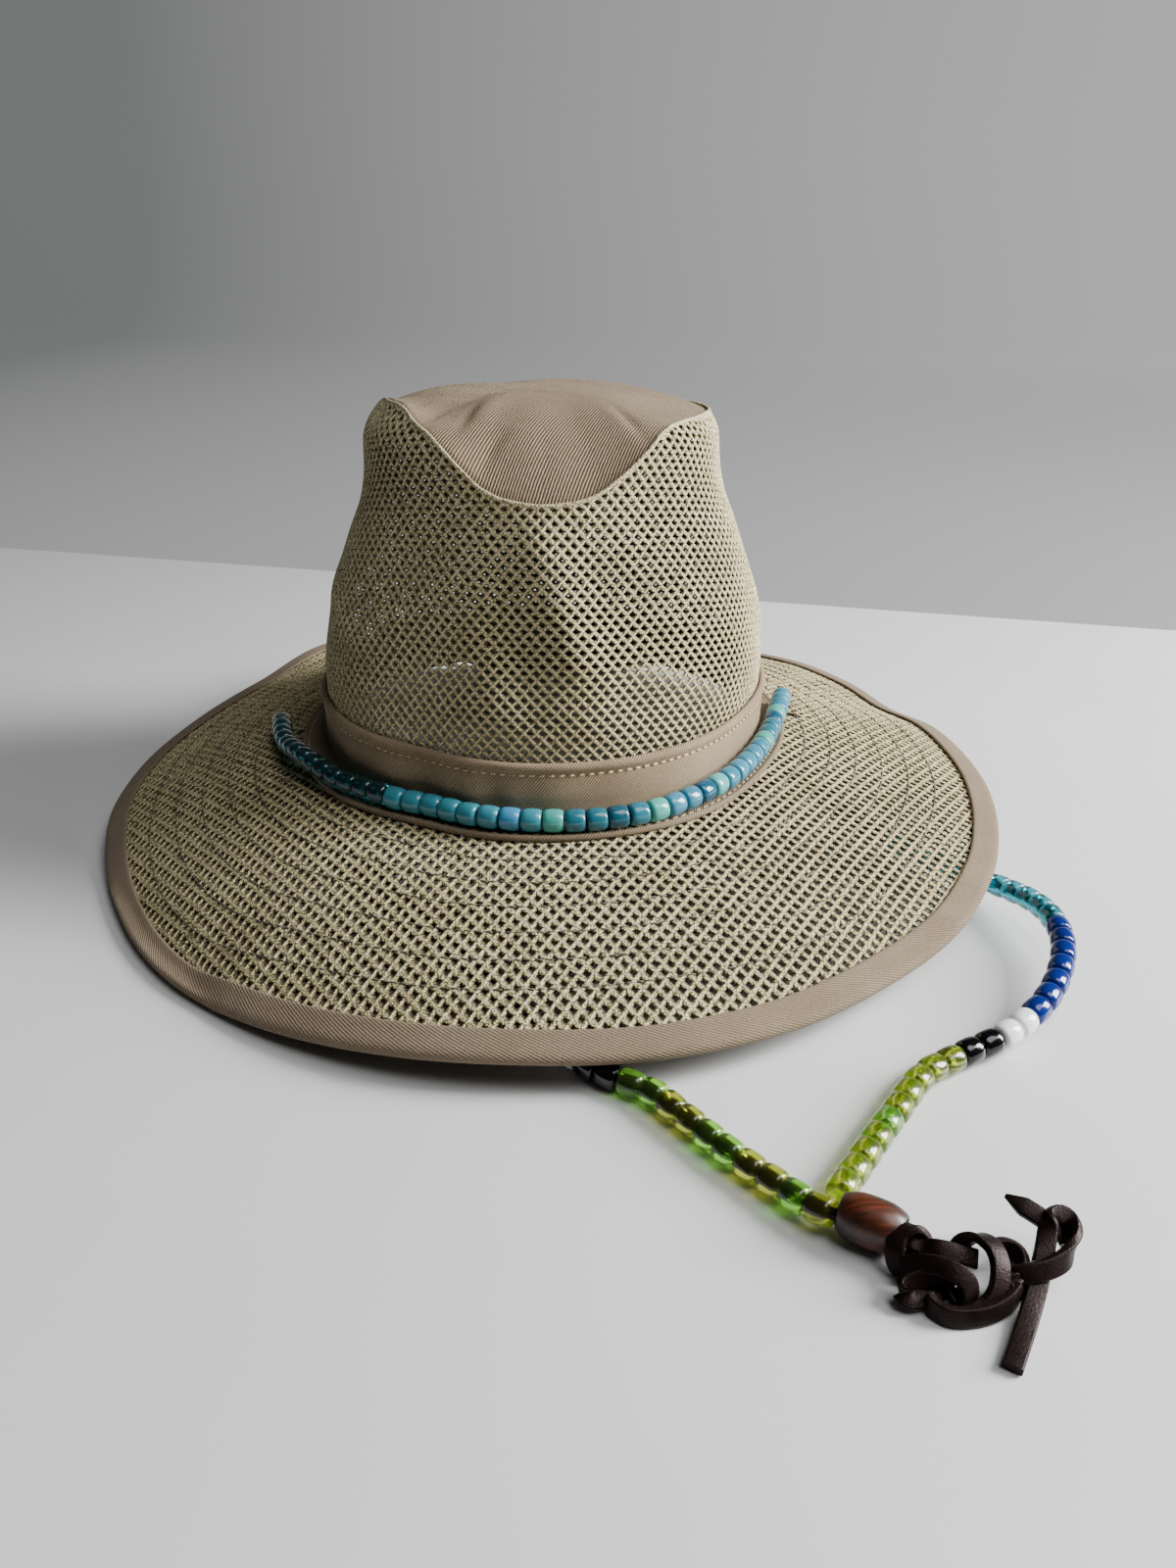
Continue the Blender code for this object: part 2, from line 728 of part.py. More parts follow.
def make_brim_binding(material):
    """Folded twill round the brim's edge, pressed flat where the hat rests."""

    def section(angle):
        inside = BRIM_WALL / 2 + GAP
        outside = inside + BINDING_WALL
        nose = GAP + BINDING_WALL
        top = BRIM_WALL + 2 * GAP + BINDING_WALL
        points = [
            (-BINDING_WIDTH, outside, top + BINDING_WALL),
            (0.0, outside, top + BINDING_WALL),
            (nose, inside / 2, BINDING_WALL + GAP + BRIM_WALL / 2),
            (nose, -inside / 2, BINDING_WALL),
            (0.0, -outside, 0.0),
            (-BINDING_FLAT, -outside, 0.0),
            (-BINDING_WIDTH, -outside, 0.0),
            (-BINDING_WIDTH, -inside, BINDING_WALL),
            (GAP, -inside, BINDING_WALL),
            (GAP, inside, top),
            (-BINDING_WIDTH, inside, top),
        ]
        return [on_surface(edge_point(angle, out, up), least) for out, up, least in points]

    return ring_piece("brim_binding", section, material)


# Chin strap

def run_point(row):
    """A bead's middle on the run round the crown, lying on the tape or the brim."""
    radius = BEAD_DIAMETER / 2
    out = GAP + BAND_WALL + GAP + radius + row.off
    up = BRIM_WALL / 2 + GAP + TAPE_WALL + GAP + radius + row.rise
    return brim_skin(row.angle, share_at(row.angle, out), up)


def route_point(row):
    return Vector((row.x, row.y, row.z)) * MM


def slide_axis():
    turn = math.radians(SLIDE_TURN)
    return Vector((math.cos(turn), math.sin(turn), 0.0))


def lace_aside(side):
    """The two laces lie side by side in the slide's bore."""
    axis = slide_axis()
    across = Vector((-axis.y, axis.x, 0.0))
    return across * side * (LACE_DIAMETER + GAP) / 2


def into_slide(side):
    """The last points of a string: in line with the bore, then into it as far as its middle."""
    start = route_point(SLIDE_START) + lace_aside(side)
    axis = slide_axis()
    return [start - axis * LACE_DIAMETER, start, start + axis * (SLIDE_LENGTH - GAP) / 2]


def string_piece(name, parts, material):
    """One fused body along several parts in turn, each (points, beaded)."""
    line = []
    radii = []
    for points, beaded in parts:
        if beaded:
            fine = smooth_line(points, BEAD_PITCH / 2)
            if len(fine) % 2 == 0:
                fine = smooth_line(points, total_length(points) / len(fine))
            for index, point in enumerate(fine):
                belly = index % 2 == 1
                radii.append((BEAD_DIAMETER if belly else BEAD_NECK) / 2)
                line.append(on_surface(point, BEAD_DIAMETER / 2))
        else:
            fine = smooth_line(points, LACE_DIAMETER)
            line += fine
            radii += [LACE_DIAMETER / 2] * len(fine)
    return tube_piece(name, line, radii, BEAD_SIDES, material)


def total_length(points):
    """Length of the smooth line through the points."""
    fine = smooth_line(points, MM)
    return sum((second - first).length for first, second in zip(fine, fine[1:]))


def through_hole(row, bead_end, onward):
    """Bare lace from a bead's end, turned over and straight down through its hole."""
    hole = hole_place(row)
    top = hole + Vector((0.0, 0.0, BRIM_WALL / 2 + 1.5 * LACE_DIAMETER))
    bend = (bead_end + top) / 2 + onward * LACE_DIAMETER
    below = hole - Vector((0.0, 0.0, BRIM_WALL / 2 + LACE_DIAMETER))
    return [bead_end + onward * LACE_DIAMETER / 2, bend, top, hole, below]


def make_strings(material):
    """The strap is one loop: over the crown's front and down each side to the slide."""
    left_hole, right_hole = HOLE_ROWS
    run = [run_point(row) for row in CROWN_RUN]
    down_left = through_hole(left_hole, run[0], (run[0] - run[1]).normalized())
    down_right = through_hole(right_hole, run[-1], (run[-1] - run[-2]).normalized())
    right_side = [route_point(row) for row in RIGHT_ROUTE]
    left_side = [route_point(row) for row in LEFT_ROUTE]
    right = string_piece("bead_string_right", [
        (list(reversed(down_left)), False),
        (run, True),
        (down_right, False),
        (right_side, True),
        (into_slide(1), False),
    ], material)
    start = down_left[-1] - Vector((0.0, 0.0, GAP))
    straight = start - Vector((0.0, 0.0, LACE_DIAMETER))
    left = string_piece("bead_string_left", [
        ([start, straight], False),
        (left_side, True),
        (into_slide(-1), False),
    ], material)
    return right, left


def make_slide(material):
    """Turned wooden slide bead with a bore for both laces."""
    profile = [(0.0, 1.0), (0.22, 0.0), (0.5, -0.1), (0.78, 0.0), (1.0, 1.0)]
    barrel = SLIDE_DIAMETER / 2
    narrower = (SLIDE_DIAMETER - SLIDE_END_DIAMETER) / 2
    rings = [(share, barrel - narrower * max(0.0, come_in)) for share, come_in in profile]
    rings += [(1.0, SLIDE_BORE / 2), (0.0, SLIDE_BORE / 2)]
    axis = slide_axis()
    side = Vector((-axis.y, axis.x, 0.0))
    up = Vector((0.0, 0.0, 1.0))
    start = route_point(SLIDE_START)
    verts = []
    for share, radius in rings:
        for step in range(SLIDE_SIDES):
            turn = 2 * math.pi * step / SLIDE_SIDES
            verts.append(start + axis * SLIDE_LENGTH * share
                         + (side * math.cos(turn) + up * math.sin(turn)) * radius)
    faces = []
    for ring in range(len(rings)):
        here = ring * SLIDE_SIDES
        there = (ring + 1) % len(rings) * SLIDE_SIDES
        for step in range(SLIDE_SIDES):
            after = (step + 1) % SLIDE_SIDES
            faces.append((here + step, here + after, there + after, there + step))
    return new_piece("wood_slide", verts, faces, material)


def make_lace_knot(material):
    """Leather lace after the slide: the knot, its loops and two tails, as one body."""
    strokes = {name: [Vector(point) * MM for point in points]
               for name, points in KNOT_STROKES.items()}
    start = route_point(SLIDE_START) + slide_axis() * (SLIDE_LENGTH + GAP) / 2
    out = route_point(SLIDE_START) + slide_axis() * (SLIDE_LENGTH + 0.6 * LACE_DIAMETER)
    strokes["neck"] = [start + lace_aside(-1), out + lace_aside(-1)] + strokes["neck"]
    strokes["shoulder"] = [start + lace_aside(1), out + lace_aside(1)] + strokes["shoulder"]
    knot = None
    for name, points in strokes.items():
        line = smooth_line(points, 1.45 * KNOT_LACE_DIAMETER)
        radii = [KNOT_LACE_DIAMETER / 2] * len(line)
        if name in ("neck", "shoulder"):
            line = smooth_line(points, 1.2 * LACE_DIAMETER)
            in_bore = round(SLIDE_LENGTH / 2 / (1.2 * LACE_DIAMETER)) + 1
            radii = [LACE_DIAMETER / 2] * in_bore
            radii += [KNOT_LACE_DIAMETER / 2] * (len(line) - in_bore)
        stroke = tube_piece(name, line, radii, KNOT_SIDES, material)
        if knot is None:
            stroke.name = "lace_knot"
            knot = stroke
        else:
            hide_guide(stroke)
            weld = knot.modifiers.new(name, "BOOLEAN")
            weld.operation = "UNION"
            weld.object = stroke
    return knot


# Place

def centre_footprint():
    """Move everything so that the origin is under the middle of the whole, on the surface."""
    corners = [vert.co for piece in bpy.data.objects for vert in piece.data.vertices]
    middle_x = (min(corner.x for corner in corners) + max(corner.x for corner in corners)) / 2
    middle_y = (min(corner.y for corner in corners) + max(corner.y for corner in corners)) / 2
    shift = Matrix.Translation((-middle_x, -middle_y, 0.0))
    for piece in bpy.data.objects:
        piece.data.transform(shift)


def build():
    for item in list(bpy.data.objects):
        bpy.data.objects.remove(item, do_unlink=True)
    net = plain_material("net", (0.55, 0.50, 0.36), 0.85)
    twill = plain_material("twill", (0.40, 0.30, 0.22), 0.90)
    beads = plain_material("beads", (0.05, 0.38, 0.48), 0.25)
    wood = plain_material("wood", (0.20, 0.05, 0.02), 0.35)
    leather = plain_material("leather", (0.03, 0.016, 0.014), 0.50)
    make_crown_net(net)
    make_crown_top(twill)
    make_crown_band(twill)
    make_brim_tape(twill)
    make_brim_net(net)
    make_brim_binding(twill)
    make_strings(beads)
    make_slide(wood)
    make_lace_knot(leather)
    centre_footprint()


build()
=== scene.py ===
# %% [markdown]
# # A net safari hat with a beaded chin strap
#
# The hat lies by itself on a pale surface, with its chin strap laid out in front of it. Its
# pieces are already built as plain solids that share one frame. This lesson dresses them one by
# one: net that light passes through, twill with its ribs and stitches, glossy and clear beads,
# a lacquered wooden slide and a knotted leather lace. Nothing is moved, so every dressed piece
# lies where its plain solid lies.

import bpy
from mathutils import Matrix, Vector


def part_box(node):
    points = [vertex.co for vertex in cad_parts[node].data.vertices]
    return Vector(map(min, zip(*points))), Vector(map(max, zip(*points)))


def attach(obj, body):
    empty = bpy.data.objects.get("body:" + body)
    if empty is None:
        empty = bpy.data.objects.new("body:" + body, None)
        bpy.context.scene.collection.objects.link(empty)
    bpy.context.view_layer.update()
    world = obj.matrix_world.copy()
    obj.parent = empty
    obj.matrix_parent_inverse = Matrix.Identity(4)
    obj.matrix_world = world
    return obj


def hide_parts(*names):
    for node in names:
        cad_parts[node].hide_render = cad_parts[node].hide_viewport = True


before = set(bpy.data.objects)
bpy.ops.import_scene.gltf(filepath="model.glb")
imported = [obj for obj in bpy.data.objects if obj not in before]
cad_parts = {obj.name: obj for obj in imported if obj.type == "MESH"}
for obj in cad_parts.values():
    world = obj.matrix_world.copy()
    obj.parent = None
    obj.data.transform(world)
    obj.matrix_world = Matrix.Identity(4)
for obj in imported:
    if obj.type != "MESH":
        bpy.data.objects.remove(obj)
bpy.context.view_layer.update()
print("packed nodes:", len(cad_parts))

# %% Modules
import math
from collections import namedtuple

import bpy
import numpy as np
from mathutils import Vector
from mathutils.geometry import delaunay_2d_cdt

# %% [markdown]
# ## The sizes of the hat
#
# A hat maker starts from a few sizes: the oval of the head opening, the height of the crown, the
# reach of the brim and the widths of the tapes. The plain solids were made from the same kind of
# values, and a few of these were tuned a little further to follow the real cloth.

# %% Sizes of crown, brim, tapes and chin strap, in metres
MM = 0.001
CROWN_WIDTH = 0.1796
CROWN_LENGTH = 0.1966
CROWN_TOP_WIDTH = 0.1200
CROWN_TOP_LENGTH = 0.1340
CROWN_HEIGHT = 0.1390
CROWN_OVAL_POWER = 2.15
V_DEPTH = 0.0288
DOME_RISE = 0.0016
DOME_POWER = 4.2
RIGHT_SOFTER = 1.7
DENT_DEPTH = 0.0070
FOLD_DEPTH = 0.0020
FOOT_HEIGHT = 0.0400
FOOT_SIDE_LIFT = 0.0025
BRIM_SIDE_REACH = 0.1880
BRIM_FRONT_REACH = 0.1980
BRIM_LIFT = 0.0260
BRIM_CURL = 1.35
WAVE_CURL = 2.2
NET_WALL = 0.0012
TOP_WALL = 0.0012
BAND_WALL = 0.0016
TAPE_WALL = 0.0012
BRIM_WALL = 0.0020
BINDING_WALL = 0.0010
BAND_HEIGHT = 0.0216
BUCKLE_DEPTH = 0.0016
BINDING_WIDTH = 0.0095
GAP = 0.0003
BEAD_DIAMETER = 0.0085
BEAD_PITCH = 0.0077
LACE_DIAMETER = 0.0034
SLIDE_LENGTH = 0.0165

# %% [markdown]
# ## The shape of the cloth, in short tables
#
# Soft cloth has no single outline. Each table gives one habit of it, a row for each place where
# something changes: how the crown comes in, where the net's upper edge dips into its V, how the
# brim waves, and where the walls are dented. Angles are in degrees, 0 at the front and 90 at the
# right. Shares are of the sizes above, and the strap's routes are in millimetres.

# %% Tables of crown, brim and strap
def table(columns, *rows):
    """Rows of numbers whose columns have names."""
    Row = namedtuple("Row", columns)
    return [Row(*row) for row in rows]


WALL_ROWS = table("height come_in",
    (0.0, 0.0), (0.17, -0.015), (0.26, -0.01), (0.39, 0.083), (0.56, 0.3), (0.66, 0.45), (0.74, 0.6),
    (0.82, 0.68), (0.9, 0.71), (0.95, 0.817), (1.0, 1.0))
SEAM_ROWS = table("angle drop",
    (-180, 0.37), (-130, 0.27), (-95, 0.18), (-65, 0.0), (-53, 0.0), (-47, 0.03), (-40, 0.12),
    (-32, 0.23), (-26, 0.38), (-19, 0.65), (-14, 0.83), (-8, 0.94), (2, 1.0), (9, 0.98), (15, 0.92),
    (20, 0.8), (26, 0.62), (32, 0.42), (38, 0.26), (44, 0.19), (54, 0.17), (65, 0.17), (95, 0.22),
    (130, 0.27), (180, 0.37))
DENT_ROWS = table("angle half_angle height half_height depth",
    (-30, 19, 0.5, 0.24, 1.0), (31, 17, 0.52, 0.22, 0.6), (-25, 11, 0.04, 0.2, 0.52),
    (58, 17, 0.04, 0.22, 0.5), (-88, 12, 0.72, 0.1, 0.35), (170, 22, 0.62, 0.24, 0.7))
FOLD_ROWS = table("angle half_angle ring half_ring depth",
    (-44, 9, 0.66, 0.22, 1.0), (12, 10, 0.72, 0.16, 0.7), (-150, 16, 0.55, 0.2, 0.9),
    (120, 14, 0.6, 0.2, 0.6))
BUCKLE_ROWS = table("angle half_angle depth",
    (-38, 7, 0.8), (-27, 2.5, -0.45), (-22, 6, 1.0), (-17, 1.8, -0.4), (-13, 2.2, 0.6),
    (-9, 1.7, -0.85), (-6, 3, 0.6), (150, 9, 0.9))
EDGE_ROWS = table("angle reach lift",
    (-180, 1.0, -0.12), (-171, 1.0, -0.1), (-163, 1.001, 0.26), (-152, 1.004, 0.84),
    (-140, 1.008, 1.0), (-124, 0.976, 0.73), (-108, 0.983, 0.52), (-95, 0.994, 0.37),
    (-85, 0.996, 0.26), (-73, 0.984, 0.12), (-65, 0.976, 0.0), (-57, 0.971, -0.12),
    (-41, 0.975, -0.12), (-33, 0.973, 0.02), (-24, 0.977, 0.13), (-12, 0.988, 0.28), (0, 1.0, 0.37),
    (14, 1.014, 0.39), (26, 1.009, 0.35), (36, 1.004, 0.36), (50, 1.014, 0.46), (60, 1.014, 0.58),
    (70, 1.008, 0.67), (80, 1.004, 0.69), (92, 1.003, 0.67), (104, 1.008, 0.62), (115, 0.994, 0.51),
    (126, 1.011, 0.59), (136, 1.0, 0.7), (148, 0.992, 0.66), (161, 0.996, 0.34), (171, 1.0, -0.1),
    (180, 1.0, -0.12))
HOLE_ROWS = table("name angle out",
    ("left", -84.5, 0.0146), ("right", 96.3, 0.0192))
CROWN_RUN = table("angle off rise",
    (-88.7, 0.0166, -0.0012), (-78.4, 0.0127, -0.0012), (-71.0, 0.0098, -0.0008),
    (-65.5, 0.0075, 0.0006), (-57.9, 0.0049, 0.0013), (-51.4, 0.0032, 0.0009),
    (-45.8, 0.0018, 0.0002), (-41.4, 0.0008, 0.0), (-31.0, 0.0008, 0.0), (-22.0, 0.0, 0.0),
    (-12.0, 0.0002, 0.0), (-2.0, 0.0005, 0.0), (8.0, 0.0014, 0.0), (17.0, 0.0018, 0.0002),
    (25.0, 0.0012, 0.0), (34.0, 0.0, 0.0), (44.0, 0.0, 0.0), (54.0, 0.0, 0.0), (64.0, 0.0, 0.0),
    (74.0, 0.0, 0.0), (84.0, 0.0011, 0.0002), (91.3, 0.0037, 0.0012), (98.6, 0.0073, 0.0008))
LEFT_ROUTE = table("x y z",
    (-102.5, -15, 27), (-98.5, -22, 16), (-91, -34, 7.5), (-80, -50, 4.3), (-62, -77, 4.3),
    (-42, -106, 4.3), (-21, -136, 4.3), (-2, -163, 4.3), (13, -184, 4.3), (26, -195, 4.3),
    (36, -201, 4.3), (46, -213, 4.3), (57, -227, 4.3), (67, -238, 4.4), (74.5, -246.5, 5.2))
RIGHT_ROUTE = table("x y z",
    (110, 6, 27), (117, -6, 17), (127, -21, 10), (141, -42, 6.5), (157, -65, 6.8), (172, -88, 10),
    (180, -108, 13.5), (181.5, -126, 14), (176.5, -144, 13), (166, -161, 9.5), (150, -175, 6.2),
    (131, -185, 4.4), (118, -194, 4.3), (106, -210, 4.3), (96, -224, 4.3), (88.5, -235, 4.4),
    (83, -243.5, 5.4))

# %% Read a table as a smooth curve
def read_table(rows, places, column):
    """A column of a table at many places at once, on a curve that never overshoots its rows."""
    keys = np.array([row[0] for row in rows], float)
    values = np.array([getattr(row, column) for row in rows], float)
    places = np.clip(places, keys[0], keys[-1])
    low = np.clip(np.searchsorted(keys, places, side="right") - 1, 0, len(keys) - 2)
    span = np.diff(keys)
    rise = np.diff(values) / span
    same_way = rise[:-1] * rise[1:] > 0
    total = np.where(same_way, rise[:-1] + rise[1:], 1.0)
    slopes = np.zeros(len(keys))
    slopes[1:-1] = np.where(same_way, 2 * rise[:-1] * rise[1:] / total, 0.0)
    t = (places - keys[low]) / span[low]
    blend = 3 * t ** 2 - 2 * t ** 3
    return (values[low] + (values[low + 1] - values[low]) * blend
            + slopes[low] * span[low] * (t - 2 * t ** 2 + t ** 3)
            + slopes[low + 1] * span[low] * (t ** 3 - t ** 2))


def wrapped(angles):
    """The same angles between -180 and 180 degrees."""
    return (np.asarray(angles, float) + 180) % 360 - 180


def all_round(count):
    """Angles at even steps round the hat, from the back round to the back."""
    return np.linspace(-180, 180, count + 1)[:-1]


def bump(distances, half_width):
    """A soft hump of height 1, half as high at the half width."""
    return np.exp(-math.log(2) * (distances / half_width) ** 2)


def hump(x, y, row):
    """A long soft hump in a sheet, at the row's place and turn and of its size."""
    turn = math.radians(row.turn)
    x = x - row.x * MM
    y = y - row.y * MM
    across = x * math.cos(turn) + y * math.sin(turn)
    along = y * math.cos(turn) - x * math.sin(turn)
    return row.size * MM * bump(across, row.width * MM) * bump(along, row.length * MM)


print("seam drops by", read_table(SEAM_ROWS, np.array([0.0]), "drop")[0], "of the V at the front")

# %% [markdown]
# ## Two surfaces that carry everything
#
# All cloth pieces are laid on two surfaces: the crown's wall and the middle of the brim's cloth.
# A function for each gives the point at an angle round the hat, and a second one steps off the
# surface, square to it. That is how a seamstress thinks of layers: net, then band, then stitch.

# %% The crown's wall
NUDGE = 0.0005
NUDGE_TURN = 0.5


def stack(x, y, z):
    """Three arrays of one length as a list of points."""
    return np.stack(np.broadcast_arrays(x, y, z), axis=-1).astype(float)


def unit(vectors):
    """Vectors of length 1."""
    return vectors / np.linalg.norm(vectors, axis=-1, keepdims=True)


def round_axis(angles, radius, heights):
    """Points round the hat's axis."""
    turn = np.radians(angles)
    return stack(np.sin(turn) * radius, -np.cos(turn) * radius, heights)


def oval_radius(angles, half_width, half_length, power):
    """Distance from the axis to an oval."""
    across = np.abs(np.sin(np.radians(angles))) / half_width
    along = np.abs(np.cos(np.radians(angles))) / half_length
    return (across ** power + along ** power) ** (-1 / power)


def foot_height(angles):
    """Height of the brim's cloth at the crown's foot."""
    return FOOT_HEIGHT + FOOT_SIDE_LIFT * np.sin(np.radians(angles)) ** 2


def seam_height(angles):
    """Height of the net's upper edge."""
    return FOOT_HEIGHT + CROWN_HEIGHT - V_DEPTH * read_table(SEAM_ROWS, wrapped(angles), "drop")


def wall_point(angles, heights):
    """Points on the outside of the crown's net."""
    share = (heights - FOOT_HEIGHT) / CROWN_HEIGHT
    come_in = read_table(WALL_ROWS, share, "come_in")
    half_width = (CROWN_WIDTH + (CROWN_TOP_WIDTH - CROWN_WIDTH) * come_in) / 2
    half_length = (CROWN_LENGTH + (CROWN_TOP_LENGTH - CROWN_LENGTH) * come_in) / 2
    radius = oval_radius(angles, half_width, half_length, CROWN_OVAL_POWER)
    for dent in DENT_ROWS:
        across = bump(wrapped(angles - dent.angle), dent.half_angle)
        upright = bump(share - dent.height, dent.half_height)
        radius = radius - DENT_DEPTH * dent.depth * across * upright
    return round_axis(angles, radius, heights)


def wall_skin(angles, heights, out):
    """Points at a distance out from the crown's wall, square to it."""
    angles, heights, out = np.broadcast_arrays(angles, heights, out)
    around = wall_point(angles + NUDGE_TURN, heights) - wall_point(angles - NUDGE_TURN, heights)
    upward = wall_point(angles, heights + NUDGE) - wall_point(angles, heights - NUDGE)
    return wall_point(angles, heights) + unit(np.cross(around, upward)) * out[..., None]


# %% The brim's cloth
NUDGE_SHARE = 0.01
REST = BRIM_WALL / 2 + GAP + BINDING_WALL


def brim_inner_radius(angles):
    """The brim's cloth reaches in as far as the inside of the crown's net."""
    foot = wall_point(angles, np.full(np.shape(angles), FOOT_HEIGHT))
    return np.hypot(foot[..., 0], foot[..., 1]) - NET_WALL


def brim_outer_radius(angles):
    """The brim's cloth ends inside the fold of its binding."""
    oval = oval_radius(angles, BRIM_SIDE_REACH, BRIM_FRONT_REACH, 2.0)
    return oval * read_table(EDGE_ROWS, wrapped(angles), "reach") - BINDING_WALL - GAP


def brim_width(angles):
    """Width of the brim's cloth, seen from above."""
    return brim_outer_radius(angles) - brim_inner_radius(angles)


def brim_point(angles, shares):
    """Points in the middle of the brim's cloth, share 0 at the crown and 1 at the edge."""
    radius = brim_inner_radius(angles) + brim_width(angles) * shares
    middle = 0.4 * BRIM_LIFT + REST
    edge = read_table(EDGE_ROWS, wrapped(angles), "lift") * BRIM_LIFT + REST
    foot = foot_height(angles)
    height = foot - (foot - middle) * shares ** BRIM_CURL + (edge - middle) * shares ** WAVE_CURL
    return round_axis(angles, radius, height)


def brim_normal(angles, shares):
    """The way straight out of the brim's upper side."""
    outward = brim_point(angles, np.minimum(1.0, shares + NUDGE_SHARE))
    outward = outward - brim_point(angles, np.maximum(0.0, shares - NUDGE_SHARE))
    around = brim_point(angles + NUDGE_TURN, shares) - brim_point(angles - NUDGE_TURN, shares)
    return unit(np.cross(outward, around))


def brim_skin(angles, shares, up):
    """Points at a distance above the middle of the brim's cloth, square to it."""
    angles, shares, up = np.broadcast_arrays(angles, shares, up)
    return brim_point(angles, shares) + brim_normal(angles, shares) * up[..., None]


def share_at(angles, distances):
    """Share of the brim's width at a distance out from the crown's wall."""
    return (distances + NET_WALL) / brim_width(angles)


def edge_point(angles, out, up):
    """Points by their distance beyond the brim cloth's edge and above its middle."""
    ones = np.ones_like(angles)
    edge = brim_point(angles, ones)
    outward = unit(edge - brim_point(angles, 1 - (BINDING_WIDTH + MM) / brim_width(angles)))
    around = brim_point(angles + NUDGE_TURN, ones) - brim_point(angles - NUDGE_TURN, ones)
    return edge + outward * out + unit(np.cross(outward, around)) * up


def on_surface(points, least):
    """Cloth that rests on the surface is pressed flat, each layer above the one below."""
    pressed = np.array(points, float)
    pressed[..., 2] = np.maximum(pressed[..., 2], least)
    return pressed


# %% Where the hat's axis stands in the shared frame
HAT_AXIS = np.array([0.0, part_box("brim_binding")[1][1] - BRIM_FRONT_REACH, 0.0])


def in_frame(points):
    """Points measured from the hat's axis, moved into the shared frame."""
    return np.asarray(points, float) + HAT_AXIS


def put(name, data):
    """A new object in the scene."""
    item = bpy.data.objects.new(name, data)
    bpy.context.scene.collection.objects.link(item)
    return item


print("the hat's axis stands at y =", round(HAT_AXIS[1], 4))

# %% [markdown]
# ## The camera
#
# The photograph was taken from close by, a little above the crown, so near parts look large and
# the brim's front sweeps wide. A short lens at the true distance gives that look. A long lens
# from far away would flatten the hat.

# %% Set the camera
CAMERA_PLACE = (0.018, -0.478, 0.229)
CAMERA_LOOKS_DOWN = 24.45
CAMERA_LENS = 27.05
CAMERA_FILM = 36.0

camera = put("camera", bpy.data.cameras.new("camera"))
camera.data.sensor_fit = "VERTICAL"
camera.data.sensor_height = CAMERA_FILM
camera.data.lens = CAMERA_LENS
camera.data.clip_start = 0.01
camera.location = in_frame(CAMERA_PLACE)
camera.rotation_euler = (math.radians(90 - CAMERA_LOOKS_DOWN), 0.0, 0.0)
bpy.context.scene.camera = camera
print("camera at", tuple(round(value, 3) for value in camera.location))

# %% [markdown]
# ## Small helpers for nodes and materials
#
# Each finish is a Principled shader. What is the same all over a piece is set on the shader's
# own sockets. What changes over the piece, such as ribs or grain, comes from texture nodes that
# read the piece's own coordinates, so it stays put when the view turns.

# %% Helpers for nodes
def feed(node, inputs):
    """Set a node's inputs, each to a value or by a link from a socket or a node's first output."""
    for label, source in inputs.items():
        if isinstance(source, bpy.types.Node):
            source = source.outputs[0]
        if isinstance(source, bpy.types.NodeSocket):
            node.id_data.links.new(source, node.inputs[label])
        else:
            node.inputs[label].default_value = source
    return node


def add(near, kind, inputs={}, **settings):
    """A new node in the tree that a node, a socket or the tree itself belongs to."""
    node = near.id_data.nodes.new(kind)
    for name, value in settings.items():
        setattr(node, name, value)
    return feed(node, inputs)


# %% Helpers for materials
WHITE = (1.0, 1.0, 1.0)


def finish(name, colour, roughness, **settings):
    """A new material and its Principled shader, with what is the same all over."""
    material = bpy.data.materials.new(name)
    material.use_nodes = True
    shader = material.node_tree.nodes["Principled BSDF"]
    feed(shader, {"Base Color": (*colour, 1.0), "Roughness": roughness})
    return material, feed(shader, {name.replace("_", " "): value for name, value in settings.items()})


def object_place(near):
    """The piece's own coordinates."""
    return add(near, "ShaderNodeTexCoord").outputs["Object"]


def cloth_place(near):
    """The piece's own UV map, which is laid out in metres along the cloth."""
    return add(near, "ShaderNodeUVMap").outputs["UV"]


def carried(near, name, output):
    """What the piece carries on its points or faces under a name."""
    return add(near, "ShaderNodeAttribute", attribute_name=name).outputs[output]


def turned(place, degrees, stretch=(1.0, 1.0, 1.0)):
    """Coordinates turned about their third axis, then stretched."""
    return add(place, "ShaderNodeMapping", {"Vector": place, "Scale": stretch,
                                            "Rotation": (0.0, 0.0, math.radians(degrees))}).outputs[0]


def texture(kind, place, **inputs):
    """The value of a texture on chosen coordinates."""
    inputs = {name.replace("_", " "): value for name, value in inputs.items()}
    node = add(place, "ShaderNodeTex" + kind, {"Vector": place, **inputs})
    return node.outputs["Distance" if kind == "Voronoi" else "Fac"]


def ramp(value, dark, light, low=0.0, high=1.0):
    """A colour between two, by a texture's value."""
    node = add(value, "ShaderNodeValToRGB", {"Fac": value})
    for stop, place, colour in zip(node.color_ramp.elements, (low, high), (dark, light)):
        stop.position = place
        stop.color = (*colour, 1.0)
    return node.outputs["Color"]


def multiplied(colour, *others):
    """Colours multiplied, one after the other."""
    for other in others:
        colour = add(colour, "ShaderNodeMix", {"Factor": 1.0, 6: colour, 7: other},
                     data_type="RGBA", blend_type="MULTIPLY").outputs[2]
    return colour


def raised(height, depth, under=None):
    """A bump of a real depth in metres, on top of another one if given."""
    node = add(height, "ShaderNodeBump", {"Strength": 1.0, "Distance": depth, "Height": height})
    if under is not None:
        feed(node, {"Normal": under})
    return node.outputs["Normal"]


